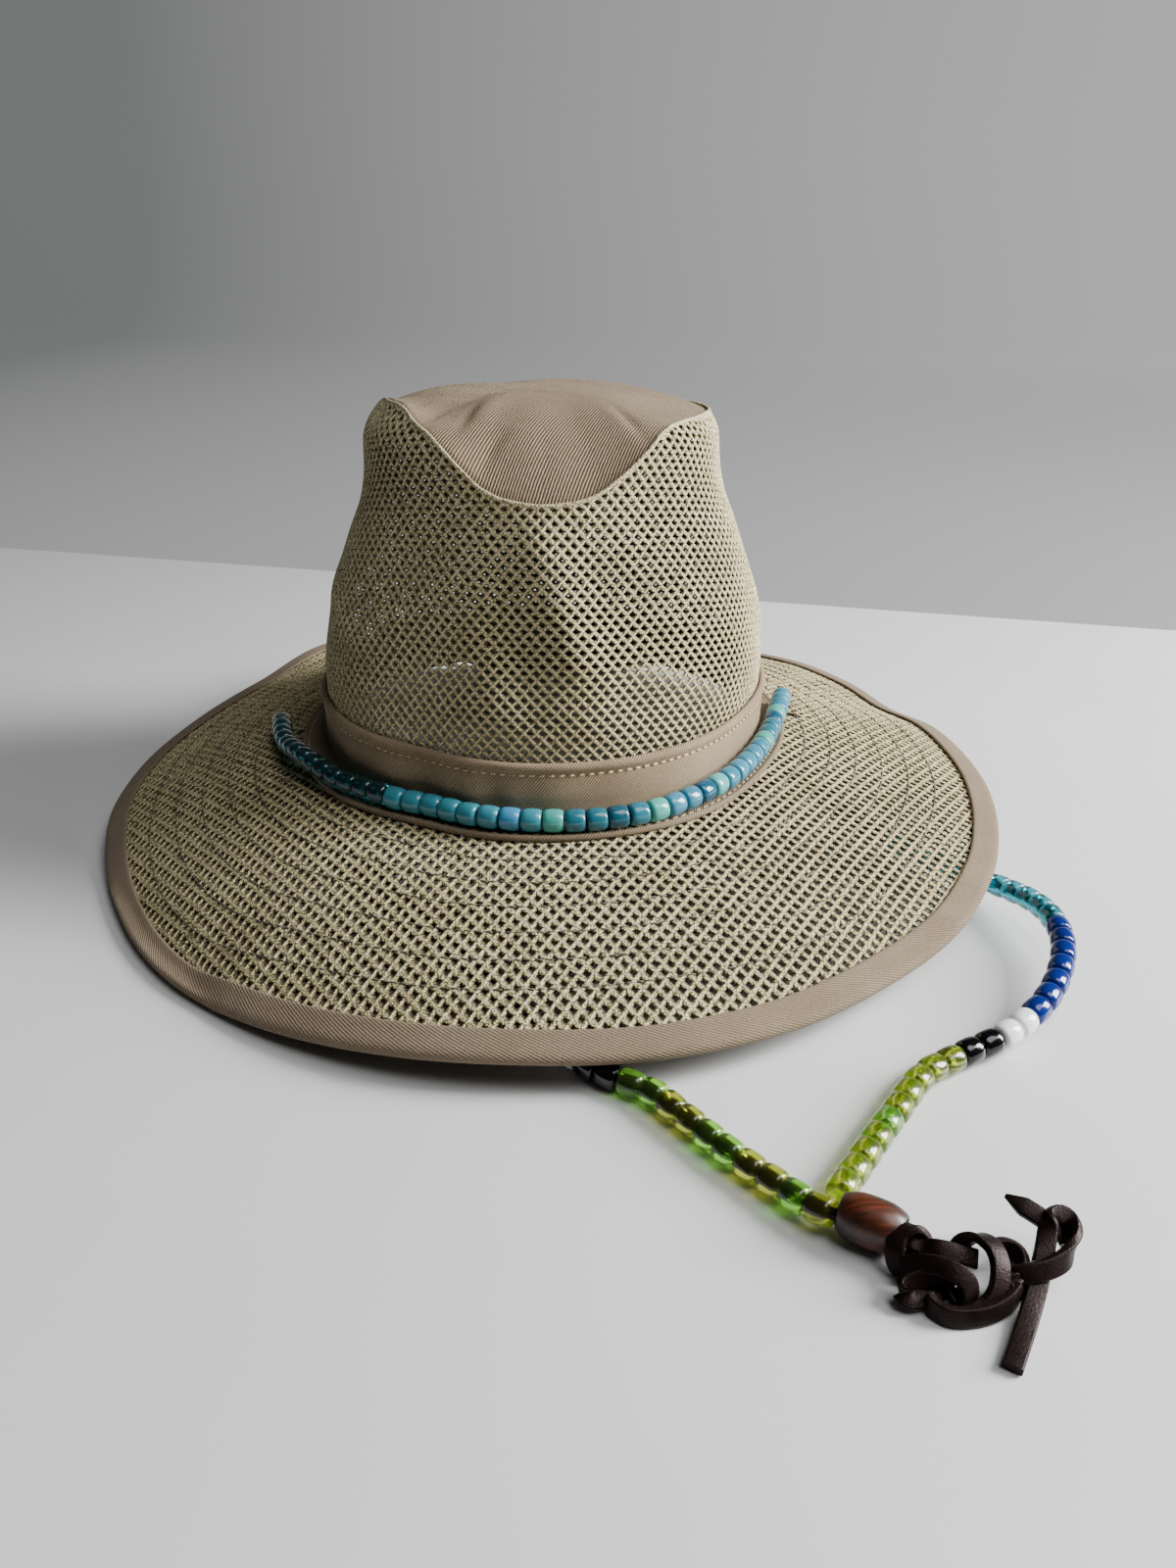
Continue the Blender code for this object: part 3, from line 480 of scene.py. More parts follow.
# %% [markdown]
# ## The surface and the light
#
# The hat lies on a plain pale surface. A greyer one begins behind it and rises, far away, into a
# wall. A wall close behind the hat would hide it from a camera at the back, so the grey begins at
# the line where the near wall would stand and glows softly, as a lit wall does. The light of a
# large window comes from the right and a little from behind: the right side of crown and brim
# is bright, the left side is soft and dark, and the beads carry one bright window each.

# %% Floor and wall
WALL_TURN = 15.0
GREY_BEGINS = 0.365
WALL_DISTANCE = 3.0
BEND_RADIUS = 0.5
BEND_STEPS = 12
STAGE_HALF = 4.0
WALL_HEIGHT = 1.2
GREY_GLOW = 0.36
GREY_REACH = 1.3


def make_floor_paint():
    """Plain matt paint, very slightly cloudy."""
    paint, shader = finish("pale_floor", (0.66, 0.66, 0.66), 0.45)
    cloud = texture("Noise", object_place(shader), Scale=9.0, Detail=3.0)
    feed(shader, {"Base Color": ramp(cloud, (0.64, 0.645, 0.645), (0.67, 0.675, 0.675), 0.3, 0.7)})
    return paint


def make_grey_paint():
    """Matt grey with a soft glow of its own that grows from left to right."""
    # Painted light: the wall's own glow stands in for the window's light on it, brighter to the right.
    paint, shader = finish("plain_wall", (0.10, 0.10, 0.10), 0.8, Emission_Strength=GREY_GLOW)
    axes = add(shader, "ShaderNodeSeparateXYZ", {0: object_place(shader)})
    across = add(shader, "ShaderNodeMapRange", {"From Min": -GREY_REACH, "From Max": GREY_REACH,
                                                "Value": axes.outputs["X"]})
    feed(shader, {"Emission Color": ramp(across.outputs[0], (0.42, 0.43, 0.43), (1.3, 1.3, 1.3))})
    return paint


def make_stage():
    """Pale floor, grey floor, bend and wall in one sheet; its first face is the pale floor."""
    profile = [(-STAGE_HALF, 0.0), (GREY_BEGINS, 0.0)]
    for step in range(BEND_STEPS + 1):
        turn = math.radians(90 * step / BEND_STEPS)
        profile.append((WALL_DISTANCE - BEND_RADIUS + BEND_RADIUS * math.sin(turn),
                        BEND_RADIUS - BEND_RADIUS * math.cos(turn)))
    profile.append((WALL_DISTANCE, WALL_HEIGHT))
    turn = math.radians(WALL_TURN)
    along = np.array([math.cos(turn), -math.sin(turn), 0.0])
    back = np.array([math.sin(turn), math.cos(turn), 0.0])
    verts = [along * side + back * depth + np.array([0.0, 0.0, height])
             for depth, height in profile for side in (-STAGE_HALF, STAGE_HALF)]
    faces = [(2 * row, 2 * row + 1, 2 * row + 3, 2 * row + 2) for row in range(len(profile) - 1)]
    mesh = bpy.data.meshes.new("stage")
    mesh.from_pydata(in_frame(verts).tolist(), [], faces)
    mesh.materials.append(make_floor_paint())
    mesh.materials.append(make_grey_paint())
    for face in mesh.polygons:
        face.material_index = min(face.index, 1)
    mesh.shade_smooth()
    put("stage", mesh)


make_stage()

# %% Window light and the room's own light
LAMPS = table("name x y z width height power",
              ("window", 1.20, -0.11, 0.66, 0.44, 0.8, 58.0),
              ("ceiling", 0.80, -0.55, 1.75, 1.2, 1.2, 22.0))
LIT_POINT = (0.0, -0.05, 0.06)

for row in LAMPS:
    lamp = put(row.name, bpy.data.lights.new(row.name, "AREA"))
    lamp.data.shape = "RECTANGLE"
    lamp.data.size = row.width
    lamp.data.size_y = row.height
    lamp.data.energy = row.power
    lamp.location = in_frame((row.x, row.y, row.z))
    ray = Vector(in_frame(LIT_POINT)) - Vector(in_frame((row.x, row.y, row.z)))
    lamp.rotation_euler = ray.to_track_quat("-Z", "Y").to_euler()

room = bpy.data.worlds.new("room")
bpy.context.scene.world = room
room.use_nodes = True
feed(room.node_tree.nodes["Background"], {"Color": (0.93, 0.97, 1.0, 1.0), "Strength": 0.035})
print("lamps:", [row.name for row in LAMPS])

# %% [markdown]
# ## Small helpers for shapes
#
# A piece is one mesh, closed, with its faces outwards. Cloth rings are made of sections set round
# the hat; each keeps a flat map of itself in metres, so that the weave runs true on it.

# %% Helpers for any piece
def link_piece(name, mesh, node, material=None):
    """Put a finished mesh in the scene and hide the plain solid it stands for."""
    if material is not None:
        mesh.materials.clear()
        mesh.materials.append(material)
    mesh.name = name
    piece = put(name, mesh)
    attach(piece, "root")
    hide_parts(node)
    print(name, "has", sum(len(face.vertices) - 2 for face in mesh.polygons), "triangles")


def points_of(mesh):
    """Where a mesh's points are, as an array."""
    points = np.empty(len(mesh.vertices) * 3)
    mesh.vertices.foreach_get("co", points)
    return points.reshape(-1, 3)


def face_outwards(mesh):
    """Turn a closed mesh whose faces all agree so that they look outwards."""
    mesh.calc_loop_triangles()
    corners = np.empty(len(mesh.loop_triangles) * 3, dtype=np.int32)
    mesh.loop_triangles.foreach_get("vertices", corners)
    first, second, third = points_of(mesh)[corners.reshape(-1, 3)].transpose(1, 0, 2)
    if np.einsum("ij,ij->i", first, np.cross(second, third)).sum() < 0:
        mesh.flip_normals()


def cloth_mesh(name, verts, faces, corner_map, sharp):
    """A closed mesh with a flat map of its own, a pair of metres for every corner of every face."""
    mesh = bpy.data.meshes.new(name)
    mesh.from_pydata(in_frame(verts).reshape(-1, 3).tolist(), [], faces)
    layer = mesh.uv_layers.new(name="flat_cloth")
    layer.data.foreach_set("uv", np.asarray(corner_map, np.float32).ravel())
    face_outwards(mesh)
    mesh.shade_smooth()
    mesh.set_sharp_from_angle(angle=math.radians(sharp))
    return mesh


def ring_faces(rings, size, total, ring_first=False):
    """Quads between rings of points, and the ring and the place of each of their corners."""
    ring, place = np.indices((rings, size)).reshape(2, -1)
    corners = ((0, 0), (1, 0), (1, 1), (0, 1)) if ring_first else ((0, 0), (0, 1), (1, 1), (1, 0))
    ring = np.stack([ring + onward for onward, _ in corners], axis=1)
    place = np.stack([place + aside for _, aside in corners], axis=1)
    return (ring % total * size + place % size).tolist(), ring.ravel(), place.ravel()


# %% Helpers for rings of cloth and for lines
LINE_PARTS = 24
KEEP_SIDE = 0.3
LEAST_SIDE = 0.15


def running(steps):
    """Distance gone at each point, from the steps between the points."""
    return np.concatenate([[0.0], np.cumsum(steps)])


def step_lengths(points):
    """Length of each step along a line of points, or of each step between rings of points."""
    return np.linalg.norm(np.diff(points, axis=0), axis=-1)


def ring_piece(name, sections, node, material, sharp=75.0):
    """A closed ring of cloth: sections[i, j] is point i of the section at step j round the hat."""
    sections = np.stack(sections, axis=1)
    steps, size, _ = sections.shape
    u = running(step_lengths(np.concatenate([sections, sections[:1]])).mean(axis=1))
    across = np.concatenate([sections, sections[:, :1]], axis=1).transpose(1, 0, 2)
    v = running(step_lengths(across).mean(axis=1))
    faces, ring, place = ring_faces(steps, size, steps, True)
    mesh = cloth_mesh(name, sections, faces, np.stack([u[ring], v[place]], axis=1), sharp)
    link_piece(name, mesh, node, material)


def smooth_line(points, spacing):
    """Points at an even spacing on a smooth curve through the given points."""
    points = np.array(points, float)
    ends = np.concatenate([[2 * points[0] - points[1]], points, [2 * points[-1] - points[-2]]])
    before, here, there, after = (ends[first:len(ends) - 3 + first, None] for first in range(4))
    t = (np.arange(LINE_PARTS) / LINE_PARTS)[:, None]
    fine = 0.5 * (2 * here + (there - before) * t
                  + (2 * before - 5 * here + 4 * there - after) * t * t
                  + (3 * here - before - 3 * there + after) * t * t * t)
    fine = np.concatenate([fine.reshape(-1, 3), points[-1:]])
    lengths = running(step_lengths(fine))
    count = max(2, round(lengths[-1] / spacing))
    places = np.linspace(0.0, lengths[-1], count + 1)
    return np.stack([np.interp(places, lengths, fine[:, axis]) for axis in range(3)], axis=1)


def line_length(points):
    """Length of the smooth curve through the given points."""
    return step_lengths(smooth_line(points, MM)).sum()


def carried_frames(line, wide=None):
    """Tangent, side and up along a line, carried without twist or kept near the wide ways given."""
    tangents = unit(np.gradient(line, axis=0))
    side = np.array([0.0, 0.0, 1.0]) if wide is None else wide[0]
    sides = []
    for index, tangent in enumerate(tangents):
        guide = side if wide is None else KEEP_SIDE * side + wide[index]
        across = guide - tangent * np.dot(guide, tangent)
        if np.linalg.norm(across) < LEAST_SIDE:
            across = side - tangent * np.dot(side, tangent)
        side = unit(across)
        sides.append(side)
    return np.array(sides), np.cross(tangents, sides)


def swept(line, outline, wide=None, scales=1.0):
    """Verts, faces and corner map of a closed body: an outline carried along a line."""
    sides, ups = carried_frames(line, wide)
    outline = np.asarray(outline, float)
    scales = np.broadcast_to(scales, len(line))[:, None, None]
    rings = (line[:, None, :] + sides[:, None, :] * outline[None, :, 0, None] * scales
             + ups[:, None, :] * outline[None, :, 1, None] * scales)
    size = len(outline)
    u = running(step_lengths(line))
    v = running(step_lengths(np.concatenate([outline, outline[:1]])))
    faces, ring, place = ring_faces(len(line) - 1, size, len(line))
    end = np.arange(size)
    faces += [end[::-1].tolist(), (end + size * (len(line) - 1)).tolist()]
    corner_map = np.concatenate([np.stack([u[ring], v[place]], axis=1), outline[::-1], outline])
    return rings.reshape(-1, 3), faces, corner_map


def joined_mesh(name, bodies):
    """Several closed bodies as one mesh."""
    faces = []
    count = 0
    for verts, body_faces, _ in bodies:
        faces += [[count + index for index in face] for face in body_faces]
        count += len(verts)
    verts, _, maps = zip(*bodies)
    return cloth_mesh(name, np.concatenate(verts), faces, np.concatenate(maps), 50.0)


def circle(radius, sides):
    """Outline of a round thing."""
    turns = np.arange(sides) * 2 * math.pi / sides
    return np.stack([np.cos(turns), np.sin(turns)], axis=1) * radius


# %% [markdown]
# ## Trees that grow what repeats
#
# Net, stitches and beads repeat hundreds or thousands of times along a surface or a path. A tree
# of geometry nodes grows each of them from a simple guide: a lattice of points, a line, a row of
# places. The result is kept as a plain mesh, and the tree is taken off again.

# %% Helpers for trees
def new_tree(name, inputs):
    """A tree with a guide and named inputs, and the sockets that give them."""
    tree = bpy.data.node_groups.new(name, "GeometryNodeTree")
    for label, kind in {"Guide": "Geometry", **inputs}.items():
        tree.interface.new_socket(label, in_out="INPUT", socket_type="NodeSocket" + kind)
    tree.interface.new_socket("Grown", in_out="OUTPUT", socket_type="NodeSocketGeometry")
    return tree, tree.nodes.new("NodeGroupInput").outputs


def geo(tree, kind, inputs={}, **settings):
    """A geometry node."""
    return add(tree, "GeometryNode" + kind, inputs, **settings)


def reckon(tree, operation, first, second):
    """A sum on two numbers."""
    return add(tree, "ShaderNodeMath", {0: first, 1: second}, operation=operation)


def named(tree, name, kind="FLOAT"):
    """What the guide carries on its points under a name."""
    return geo(tree, "InputNamedAttribute", {"Name": name}, data_type=kind)


def captured(tree, geometry, label, value):
    """Keep a yes or no on the points, to be read after the shape has changed."""
    node = geo(tree, "CaptureAttribute", {"Geometry": geometry}, domain="POINT")
    node.capture_items.new("BOOLEAN", label)
    return feed(node, {1: value})


def stored(tree, geometry, name, value, domain):
    """Write a number on the geometry for its material to read."""
    return geo(tree, "StoreNamedAttribute", {"Geometry": geometry, "Name": name, "Value": value},
               data_type="FLOAT", domain=domain)


def close_tree(tree, geometry, material):
    """The last steps of every tree: real geometry, smooth, in its material."""
    real = geo(tree, "RealizeInstances", {0: geometry})
    soft = geo(tree, "SetShadeSmooth", {0: real})
    painted = geo(tree, "SetMaterial", {"Geometry": soft, "Material": material})
    add(tree, "NodeGroupOutput", {0: painted})
    return tree


def grown(name, guide, tree, values):
    """Run a tree on a guide mesh and keep what it grows as a plain mesh."""
    carrier = put(name + "_guide", guide)
    modifier = carrier.modifiers.new("grow", "NODES")
    modifier.node_group = tree
    for socket in tree.interface.items_tree:
        if socket.in_out == "INPUT" and socket.name in values:
            modifier[socket.identifier] = values[socket.name]
    graph = bpy.context.evaluated_depsgraph_get()
    mesh = bpy.data.meshes.new_from_object(carrier.evaluated_get(graph), depsgraph=graph,
                                           preserve_all_data_layers=True)
    bpy.data.objects.remove(carrier)
    return mesh


# %% The tree that opens a lattice into a net
SAME_PLACE = 2e-6


def make_net_tree():
    """Each lattice point becomes a hole; what is left between the holes becomes strands."""
    tree, given = new_tree("open_net", {"Hole share": "Float", "Hole flatness": "Float",
                                        "Strand thickness": "Float", "Yarn": "Material"})
    cells = geo(tree, "DualMesh", {"Mesh": given["Guide"], "Keep Boundaries": True})
    alone = reckon(tree, "LESS_THAN", geo(tree, "InputMeshEdgeNeighbors"), 1.5)
    on_edge = geo(tree, "FieldOnDomain", {0: alone}, domain="EDGE", data_type="BOOLEAN")
    border = captured(tree, cells, "Border", on_edge)
    pushed = geo(tree, "ExtrudeMesh", {"Mesh": border, "Offset Scale": 0.0, "Individual": True},
                 mode="FACES")
    top = {"Selection": pushed.outputs["Top"]}
    share = reckon(tree, "MULTIPLY", named(tree, "openness"), given["Hole share"])
    shrunk = geo(tree, "ScaleElements", {"Geometry": pushed, **top, "Scale": share}, domain="FACE")
    flattened = geo(tree, "ScaleElements",
                    {"Geometry": shrunk, **top, "Scale": given["Hole flatness"],
                     "Axis": named(tree, "upward", "FLOAT_VECTOR")},
                    domain="FACE", scale_mode="SINGLE_AXIS")
    rim = captured(tree, flattened, "Rim", pushed.outputs["Top"])
    # The hole rims are marked for the yarn's painted shade in the holes.
    marked = stored(tree, rim, "rim", rim.outputs[1], "POINT")
    opened = geo(tree, "DeleteGeometry", {"Geometry": marked, **top}, domain="FACE", mode="ONLY_FACE")
    middle = add(tree, "FunctionNodeBooleanMath", {0: rim.outputs[1], 1: border.outputs[1]},
                 operation="NOR")
    sides = []
    for way in (0.5, -0.5):
        half = reckon(tree, "MULTIPLY", given["Strand thickness"], way)
        lift = add(tree, "ShaderNodeVectorMath", {0: geo(tree, "InputNormal"), "Scale": half},
                   operation="SCALE")
        side = geo(tree, "SetPosition", {"Geometry": opened, "Selection": middle, "Offset": lift})
        # The inner sheet of every net is marked for the yarn's painted shade on the inner side.
        sides.append(stored(tree, side, "inner_side", 0.5 - way, "FACE"))
    both = geo(tree, "JoinGeometry", {0: sides[0]})
    feed(both, {0: geo(tree, "FlipFaces", {"Mesh": sides[1]})})
    closed = geo(tree, "MergeByDistance", {"Geometry": both, "Distance": SAME_PLACE})
    return close_tree(tree, closed, given["Yarn"])


# %% The trees that lay stitches along a line and beads on a row of places
def make_stitch_tree():
    """Short rounded stitches, end to end along a line, each turned the way the line runs."""
    tree, given = new_tree("stitches", {"Pitch": "Float", "Length": "Float", "Thickness": "Float",
                                        "Lean": "Vector", "Thread": "Material"})
    path = geo(tree, "MeshToCurve", {"Mesh": given["Guide"]})
    places = geo(tree, "ResampleCurve", {"Curve": path, "Length": given["Pitch"]}, mode="LENGTH")
    leaning = add(tree, "ShaderNodeVectorMath", {0: geo(tree, "InputTangent"), 1: given["Lean"]},
                  operation="ADD")
    turn = add(tree, "FunctionNodeAlignRotationToVector", {"Vector": leaning}, axis="X")
    size = add(tree, "ShaderNodeCombineXYZ",
               {0: given["Length"], 1: given["Thickness"], 2: given["Thickness"]})
    grain = geo(tree, "MeshUVSphere", {"Segments": 6, "Rings": 4, "Radius": 0.5})
    laid = geo(tree, "InstanceOnPoints",
               {"Points": places, "Instance": grain, "Rotation": turn, "Scale": size})
    return close_tree(tree, laid, given["Thread"])


def make_bead_tree():
    """One bead on every place, turned along the lace; its colour comes with the place."""
    tree, given = new_tree("beads", {"Bead": "Object", "Wall": "Material"})
    shape = geo(tree, "ObjectInfo", {"Object": given["Bead"]}).outputs["Geometry"]
    turn = add(tree, "FunctionNodeAlignRotationToVector",
               {"Vector": named(tree, "along", "FLOAT_VECTOR")}, axis="Z")
    laid = geo(tree, "InstanceOnPoints",
               {"Points": given["Guide"], "Instance": shape, "Rotation": turn})
    return close_tree(tree, laid, given["Wall"])


NET_TREE = make_net_tree()
STITCH_TREE = make_stitch_tree()
BEAD_TREE = make_bead_tree()
print("trees:", [tree.name for tree in bpy.data.node_groups])


def stitch_piece(name, lines, node, slot, thread, **sizes):
    """Stitches along closed lines, as one piece."""
    edges = []
    start = 0
    for line in lines:
        here = start + np.arange(len(line))
        edges += np.stack([here, np.roll(here, -1)], axis=1).tolist()
        start += len(line)
    guide = bpy.data.meshes.new("lines")
    guide.from_pydata(in_frame(np.concatenate(lines)).tolist(), edges, [])
    link_piece(name, grown(name, guide, STITCH_TREE, {"Thread": thread, **sizes}), node)


# %% [markdown]
# ## The net of the crown
#
# The side of the crown is a knitted net: rows of small holes, each row set half a hole aside of
# the next. It was cut flat and rolled into a cone, so its rows lie level at the front and sink
# towards the sides, and its two ends meet at the back. The lattice below is that flat cloth; it
# is then wrapped on the crown's wall, and the tree opens it.

# %% Yarn of the nets
def make_yarn(name, dark, light, under, inside):
    """Knitted cotton yarn: loops that catch the light, with painted shade in the holes and on the inner
    side.
    """
    yarn, shader = finish(name, light, 0.85, Sheen_Weight=0.04, Sheen_Roughness=0.5,
                          Specular_IOR_Level=0.25)
    place = object_place(shader)
    loops = texture("Voronoi", place, Scale=1500.0, Randomness=0.9)
    cloudy = texture("Noise", place, Scale=38.0, Detail=3.0, Roughness=0.6)
    bright = ramp(loops, light, dark, 0.22, 0.72)
    patch = ramp(cloudy, under, WHITE, 0.32, 0.62)
    # Painted shade: the yarn is darker at the rims of the holes.
    deep = ramp(carried(shader, "rim", "Fac"), WHITE, (0.40, 0.36, 0.29), 0.40)
    # Painted shade: the net's inner sheet takes the colour given as inside.
    inner_side_shade = ramp(carried(shader, "inner_side", "Fac"), WHITE, (inside, inside, 0.95 * inside))
    feed(shader, {"Base Color": multiplied(bright, patch, deep, inner_side_shade),
                  "Normal": raised(loops, -0.00022)})
    return yarn


# The last value of each yarn is its painted shade on the net's inner side.
CROWN_YARN = make_yarn("crown_yarn", (0.20, 0.165, 0.085), (0.84, 0.75, 0.46), (0.86, 0.84, 0.80), 0.30)
BRIM_YARN = make_yarn("brim_yarn", (0.11, 0.09, 0.042), (0.88, 0.775, 0.45), (0.84, 0.82, 0.78), 0.50)
# The brim's lower layer gets a darker copy of the yarn: painted shade under the upper layer.
SHADED_UNDER_YARN = make_yarn("brim_under_yarn", (0.08, 0.065, 0.034), (0.44, 0.375, 0.235),
                       (0.84, 0.82, 0.78), 1.0)

# %% Lay a flat lattice and join it into triangles
TOUCHING = 1e-7


def lattice_points(first, second, border, lean):
    """Points of a lattice with two steps, inside the box of a border."""
    low = border.min(axis=0)
    high = border.max(axis=0)
    area = abs(first[0] * second[1] - first[1] * second[0])
    reach = max(high[0] - low[0], high[1] - low[1]) * 1.6
    count = int(reach / math.sqrt(area)) + 2
    ones, twos = np.meshgrid(np.arange(-count, count + 1), np.arange(-count, count + 1))
    points = ((low + high) / 2 + np.asarray(lean) + ones.ravel()[:, None] * np.asarray(first)
              + twos.ravel()[:, None] * np.asarray(second))
    return points[((points > low) & (points < high)).all(axis=1)]


def near_line(points, line, distance):
    """Which points lie closer to a broken line than a distance."""
    near = np.zeros(len(points), bool)
    for start, end in zip(line, np.roll(line, -1, axis=0)):
        span = end - start
        share = np.clip(((points - start) @ span) / max(span @ span, 1e-12), 0.0, 1.0)
        near |= np.linalg.norm(points - start - share[:, None] * span, axis=1) < distance
    return near


def inside_line(points, line):
    """Which points lie inside a closed broken line."""
    inside = np.zeros(len(points), bool)
    x, y = points.T
    for (x1, y1), (x2, y2) in zip(line, np.roll(line, -1, axis=0)):
        crosses = (y1 > y) != (y2 > y)
        if y1 != y2:
            inside ^= crosses & (x < (x2 - x1) * (y - y1) / (y2 - y1) + x1)
    return inside


def cut_net(first, second, borders, lean, slack, clear, rng):
    """A lattice, each point a little out of place, joined to its borders; inner borders are holes."""
    points = lattice_points(first, second, borders[0], lean)
    points = points + rng.normal(0.0, slack, points.shape)
    points = points[inside_line(points, borders[0])]
    for border in borders:
        points = points[~near_line(points, border, clear)]
    for border in borders[1:]:
        points = points[~inside_line(points, border)]
    edges = []
    start = len(points)
    for border in borders:
        here = start + np.arange(len(border))
        edges += np.stack([here, np.roll(here, -1)], axis=1).tolist()
        start += len(border)
    points = [Vector(point) for point in np.concatenate([points, *borders]).tolist()]
    flat, _, faces, _, _, _ = delaunay_2d_cdt(points, edges, [], 0, TOUCHING)
    flat = np.array([tuple(point) for point in flat])
    faces = np.array([face for face in faces if len(face) == 3])
    middles = flat[faces].mean(axis=1)
    keep = inside_line(middles, borders[0])
    for inner in borders[1:]:
        keep &= ~inside_line(middles, inner)
    used, faces = np.unique(faces[keep], return_inverse=True)
    return flat[used], faces.reshape(-1, 3)


def paired(points, faces, way):
    """Join triangles in twos across the edges that run one way, so every hole gets four corners."""
    span = points[faces[:, [1, 2, 0]]] - points[faces]
    size = np.linalg.norm(span, axis=2)
    length = np.linalg.norm(way)
    fits = np.abs(span @ np.asarray(way)) > 0.95 * size * length
    fits &= np.abs(size / length - 1) < 0.3
    sides = np.where(fits.any(axis=1), fits.argmax(axis=1), -1)
    waiting = {}
    cells = []
    for face, side in zip(faces.tolist(), sides.tolist()):
        if side < 0:
            cells.append(face)
            continue
        start, end, tip = face[side], face[(side + 1) % 3], face[(side + 2) % 3]
        key = (min(start, end), max(start, end))
        if key in waiting:
            cells.append([start, waiting.pop(key)[2], end, tip])
        else:
            waiting[key] = (start, end, tip)
    return cells + [list(face) for face in waiting.values()]


HOLE_FLATNESS = 0.62


def net_piece(name, node, verts, cells, openness, upward, yarn, share, thickness):
    """Open a lattice on its surface into a net, as one piece."""
    mesh = bpy.data.meshes.new(name + "_lattice")
    mesh.from_pydata(in_frame(verts).tolist(), [], cells)
    mesh.attributes.new("openness", "FLOAT", "POINT").data.foreach_set(
        "value", np.asarray(openness, np.float32))
    mesh.attributes.new("upward", "FLOAT_VECTOR", "POINT").data.foreach_set(
        "vector", unit(upward).astype(np.float32).ravel())
    mesh = grown(name, mesh, NET_TREE, {"Hole share": share, "Hole flatness": HOLE_FLATNESS,
                                        "Strand thickness": thickness, "Yarn": yarn})
    face_outwards(mesh)
    link_piece(name, mesh, node)


# %% Wrap the flat net on the crown
NET_PITCH = 0.00395
NET_ROW = 0.00238
CONE_SINE = 0.21
CONE_RISE = 0.966
CONE_FOOT = 0.094 / CONE_SINE
BACK_SEAM = 179.93
EDGE_ROLL = 0.00075


def flat_from_crown(angles, heights):
    """Where a point of the crown lies on the flat cloth."""
    turn = np.radians(angles) * CONE_SINE
    slant = CONE_FOOT - (heights - FOOT_HEIGHT) / CONE_RISE
    return np.stack([slant * np.sin(turn), CONE_FOOT - slant * np.cos(turn)], axis=-1)


def crown_from_flat(points):
    """Angle and height on the crown of points of the flat cloth."""
    x = points[:, 0]
    y = CONE_FOOT - points[:, 1]
    angles = np.degrees(np.arctan2(x, y)) / CONE_SINE
    return angles, FOOT_HEIGHT + (CONE_FOOT - np.hypot(x, y)) * CONE_RISE


NET_FOLDS = table("x y turn width length size",
    (9, 116, 17, 6, 26, 3.0), (-7, 102, 17, 7, 20, -2.6), (26, 110, 20, 8, 20, -1.6),
    (-44, 110, -55, 5, 24, 2.6), (-38, 88, -55, 8, 22, -1.6), (50, 118, 50, 6, 20, 1.8),
    (36, 80, 66, 6, 24, -1.6), (-92, 104, 70, 5, 22, 1.4), (120, 96, 40, 7, 26, 1.6),
    (-160, 100, 30, 8, 28, 1.8), (190, 112, -30, 8, 28, -1.6))


def net_folds(flat, heights, seam):
    """How far the slack net stands off in its soft folds, nothing at the foot and at the seam."""
    stands_off = np.zeros(len(flat))
    for row in NET_FOLDS:
        stands_off += hump(flat[:, 0], heights, row)
    free = np.minimum((heights - FOOT_HEIGHT - 0.026) / 0.014, (seam - heights) / 0.010)
    free = np.clip(free, 0.0, 1.0)
    return stands_off * free ** 2 * (3 - 2 * free)


def make_crown_net():
    """The crown's net: tight at the seam and the sides, open at the front."""
    rng = np.random.default_rng(11)
    around = np.linspace(-BACK_SEAM, BACK_SEAM, 216)
    top = flat_from_crown(around, seam_height(around))
    bottom = flat_from_crown(around, foot_height(around) + BRIM_WALL / 2 + GAP)
    rise = np.linspace(0.0, 1.0, 34)[1:-1, None]
    right = bottom[-1] + (top[-1] - bottom[-1]) * rise
    left = (bottom[0] + (top[0] - bottom[0]) * rise)[::-1]
    border = np.concatenate([bottom, right, top[::-1], left])
    flat, faces = cut_net((NET_PITCH, 0.0), (NET_PITCH / 2, NET_ROW), [border], (0.0, 0.0004),
                          0.00004, 0.42 * NET_ROW, rng)
    angles, heights = crown_from_flat(flat)
    angles = np.clip(angles, -BACK_SEAM, BACK_SEAM)
    off = net_folds(flat, heights, seam_height(angles)) - NET_WALL / 2
    verts = wall_skin(angles, heights, off)
    above = wall_skin(*crown_from_flat(flat + np.array([0.0, NUDGE])), off)
    openness = 1.0 + rng.normal(0.0, 0.03, len(flat))
    openness *= 0.80 + 0.20 * np.clip((seam_height(angles) - heights) / 0.030, 0.0, 1.0)
    openness *= 1 - 0.42 * np.clip((np.abs(angles) - 52) / 32, 0.0, 1.0)
    openness = np.where(near_line(flat, border, 0.0004), 0.55, openness)
    net_piece("crown_net_open", "crown_net", verts, paired(flat, faces, (NET_PITCH, 0.0)), openness,
              above - verts, CROWN_YARN, 0.62, NET_WALL * 1.05)


def make_seam_edge():
    """The net's upper edge is turned in and lies as a thin roll against the twill."""
    angles = all_round(720)
    seam = seam_height(angles)
    line = wall_skin(angles, seam - 0.0006, -0.0004)
    around = unit(np.roll(line, -1, axis=0) - np.roll(line, 1, axis=0))
    out = unit(wall_skin(angles, seam, MM) - wall_skin(angles, seam, 0.0))
    up = np.cross(out, around)
    rows = [line + out * x * 0.8 + up * y for x, y in circle(EDGE_ROLL, 8)]
    ring_piece("crown_net_edge", rows, "crown_net", CROWN_YARN, 60.0)


make_crown_net()
make_seam_edge()

# %% [markdown]
# ## The doubled net of the brim
#
# The brim is two layers of a wider net, sewn together in rings. The holes of the layers do not
# meet, so the brim looks closed, with a small dark spot where two holes cross. Each ring of
# quilting presses the layers together and leaves a fine groove; the shade in the groove is painted
# into the dark colour of the quilting thread.

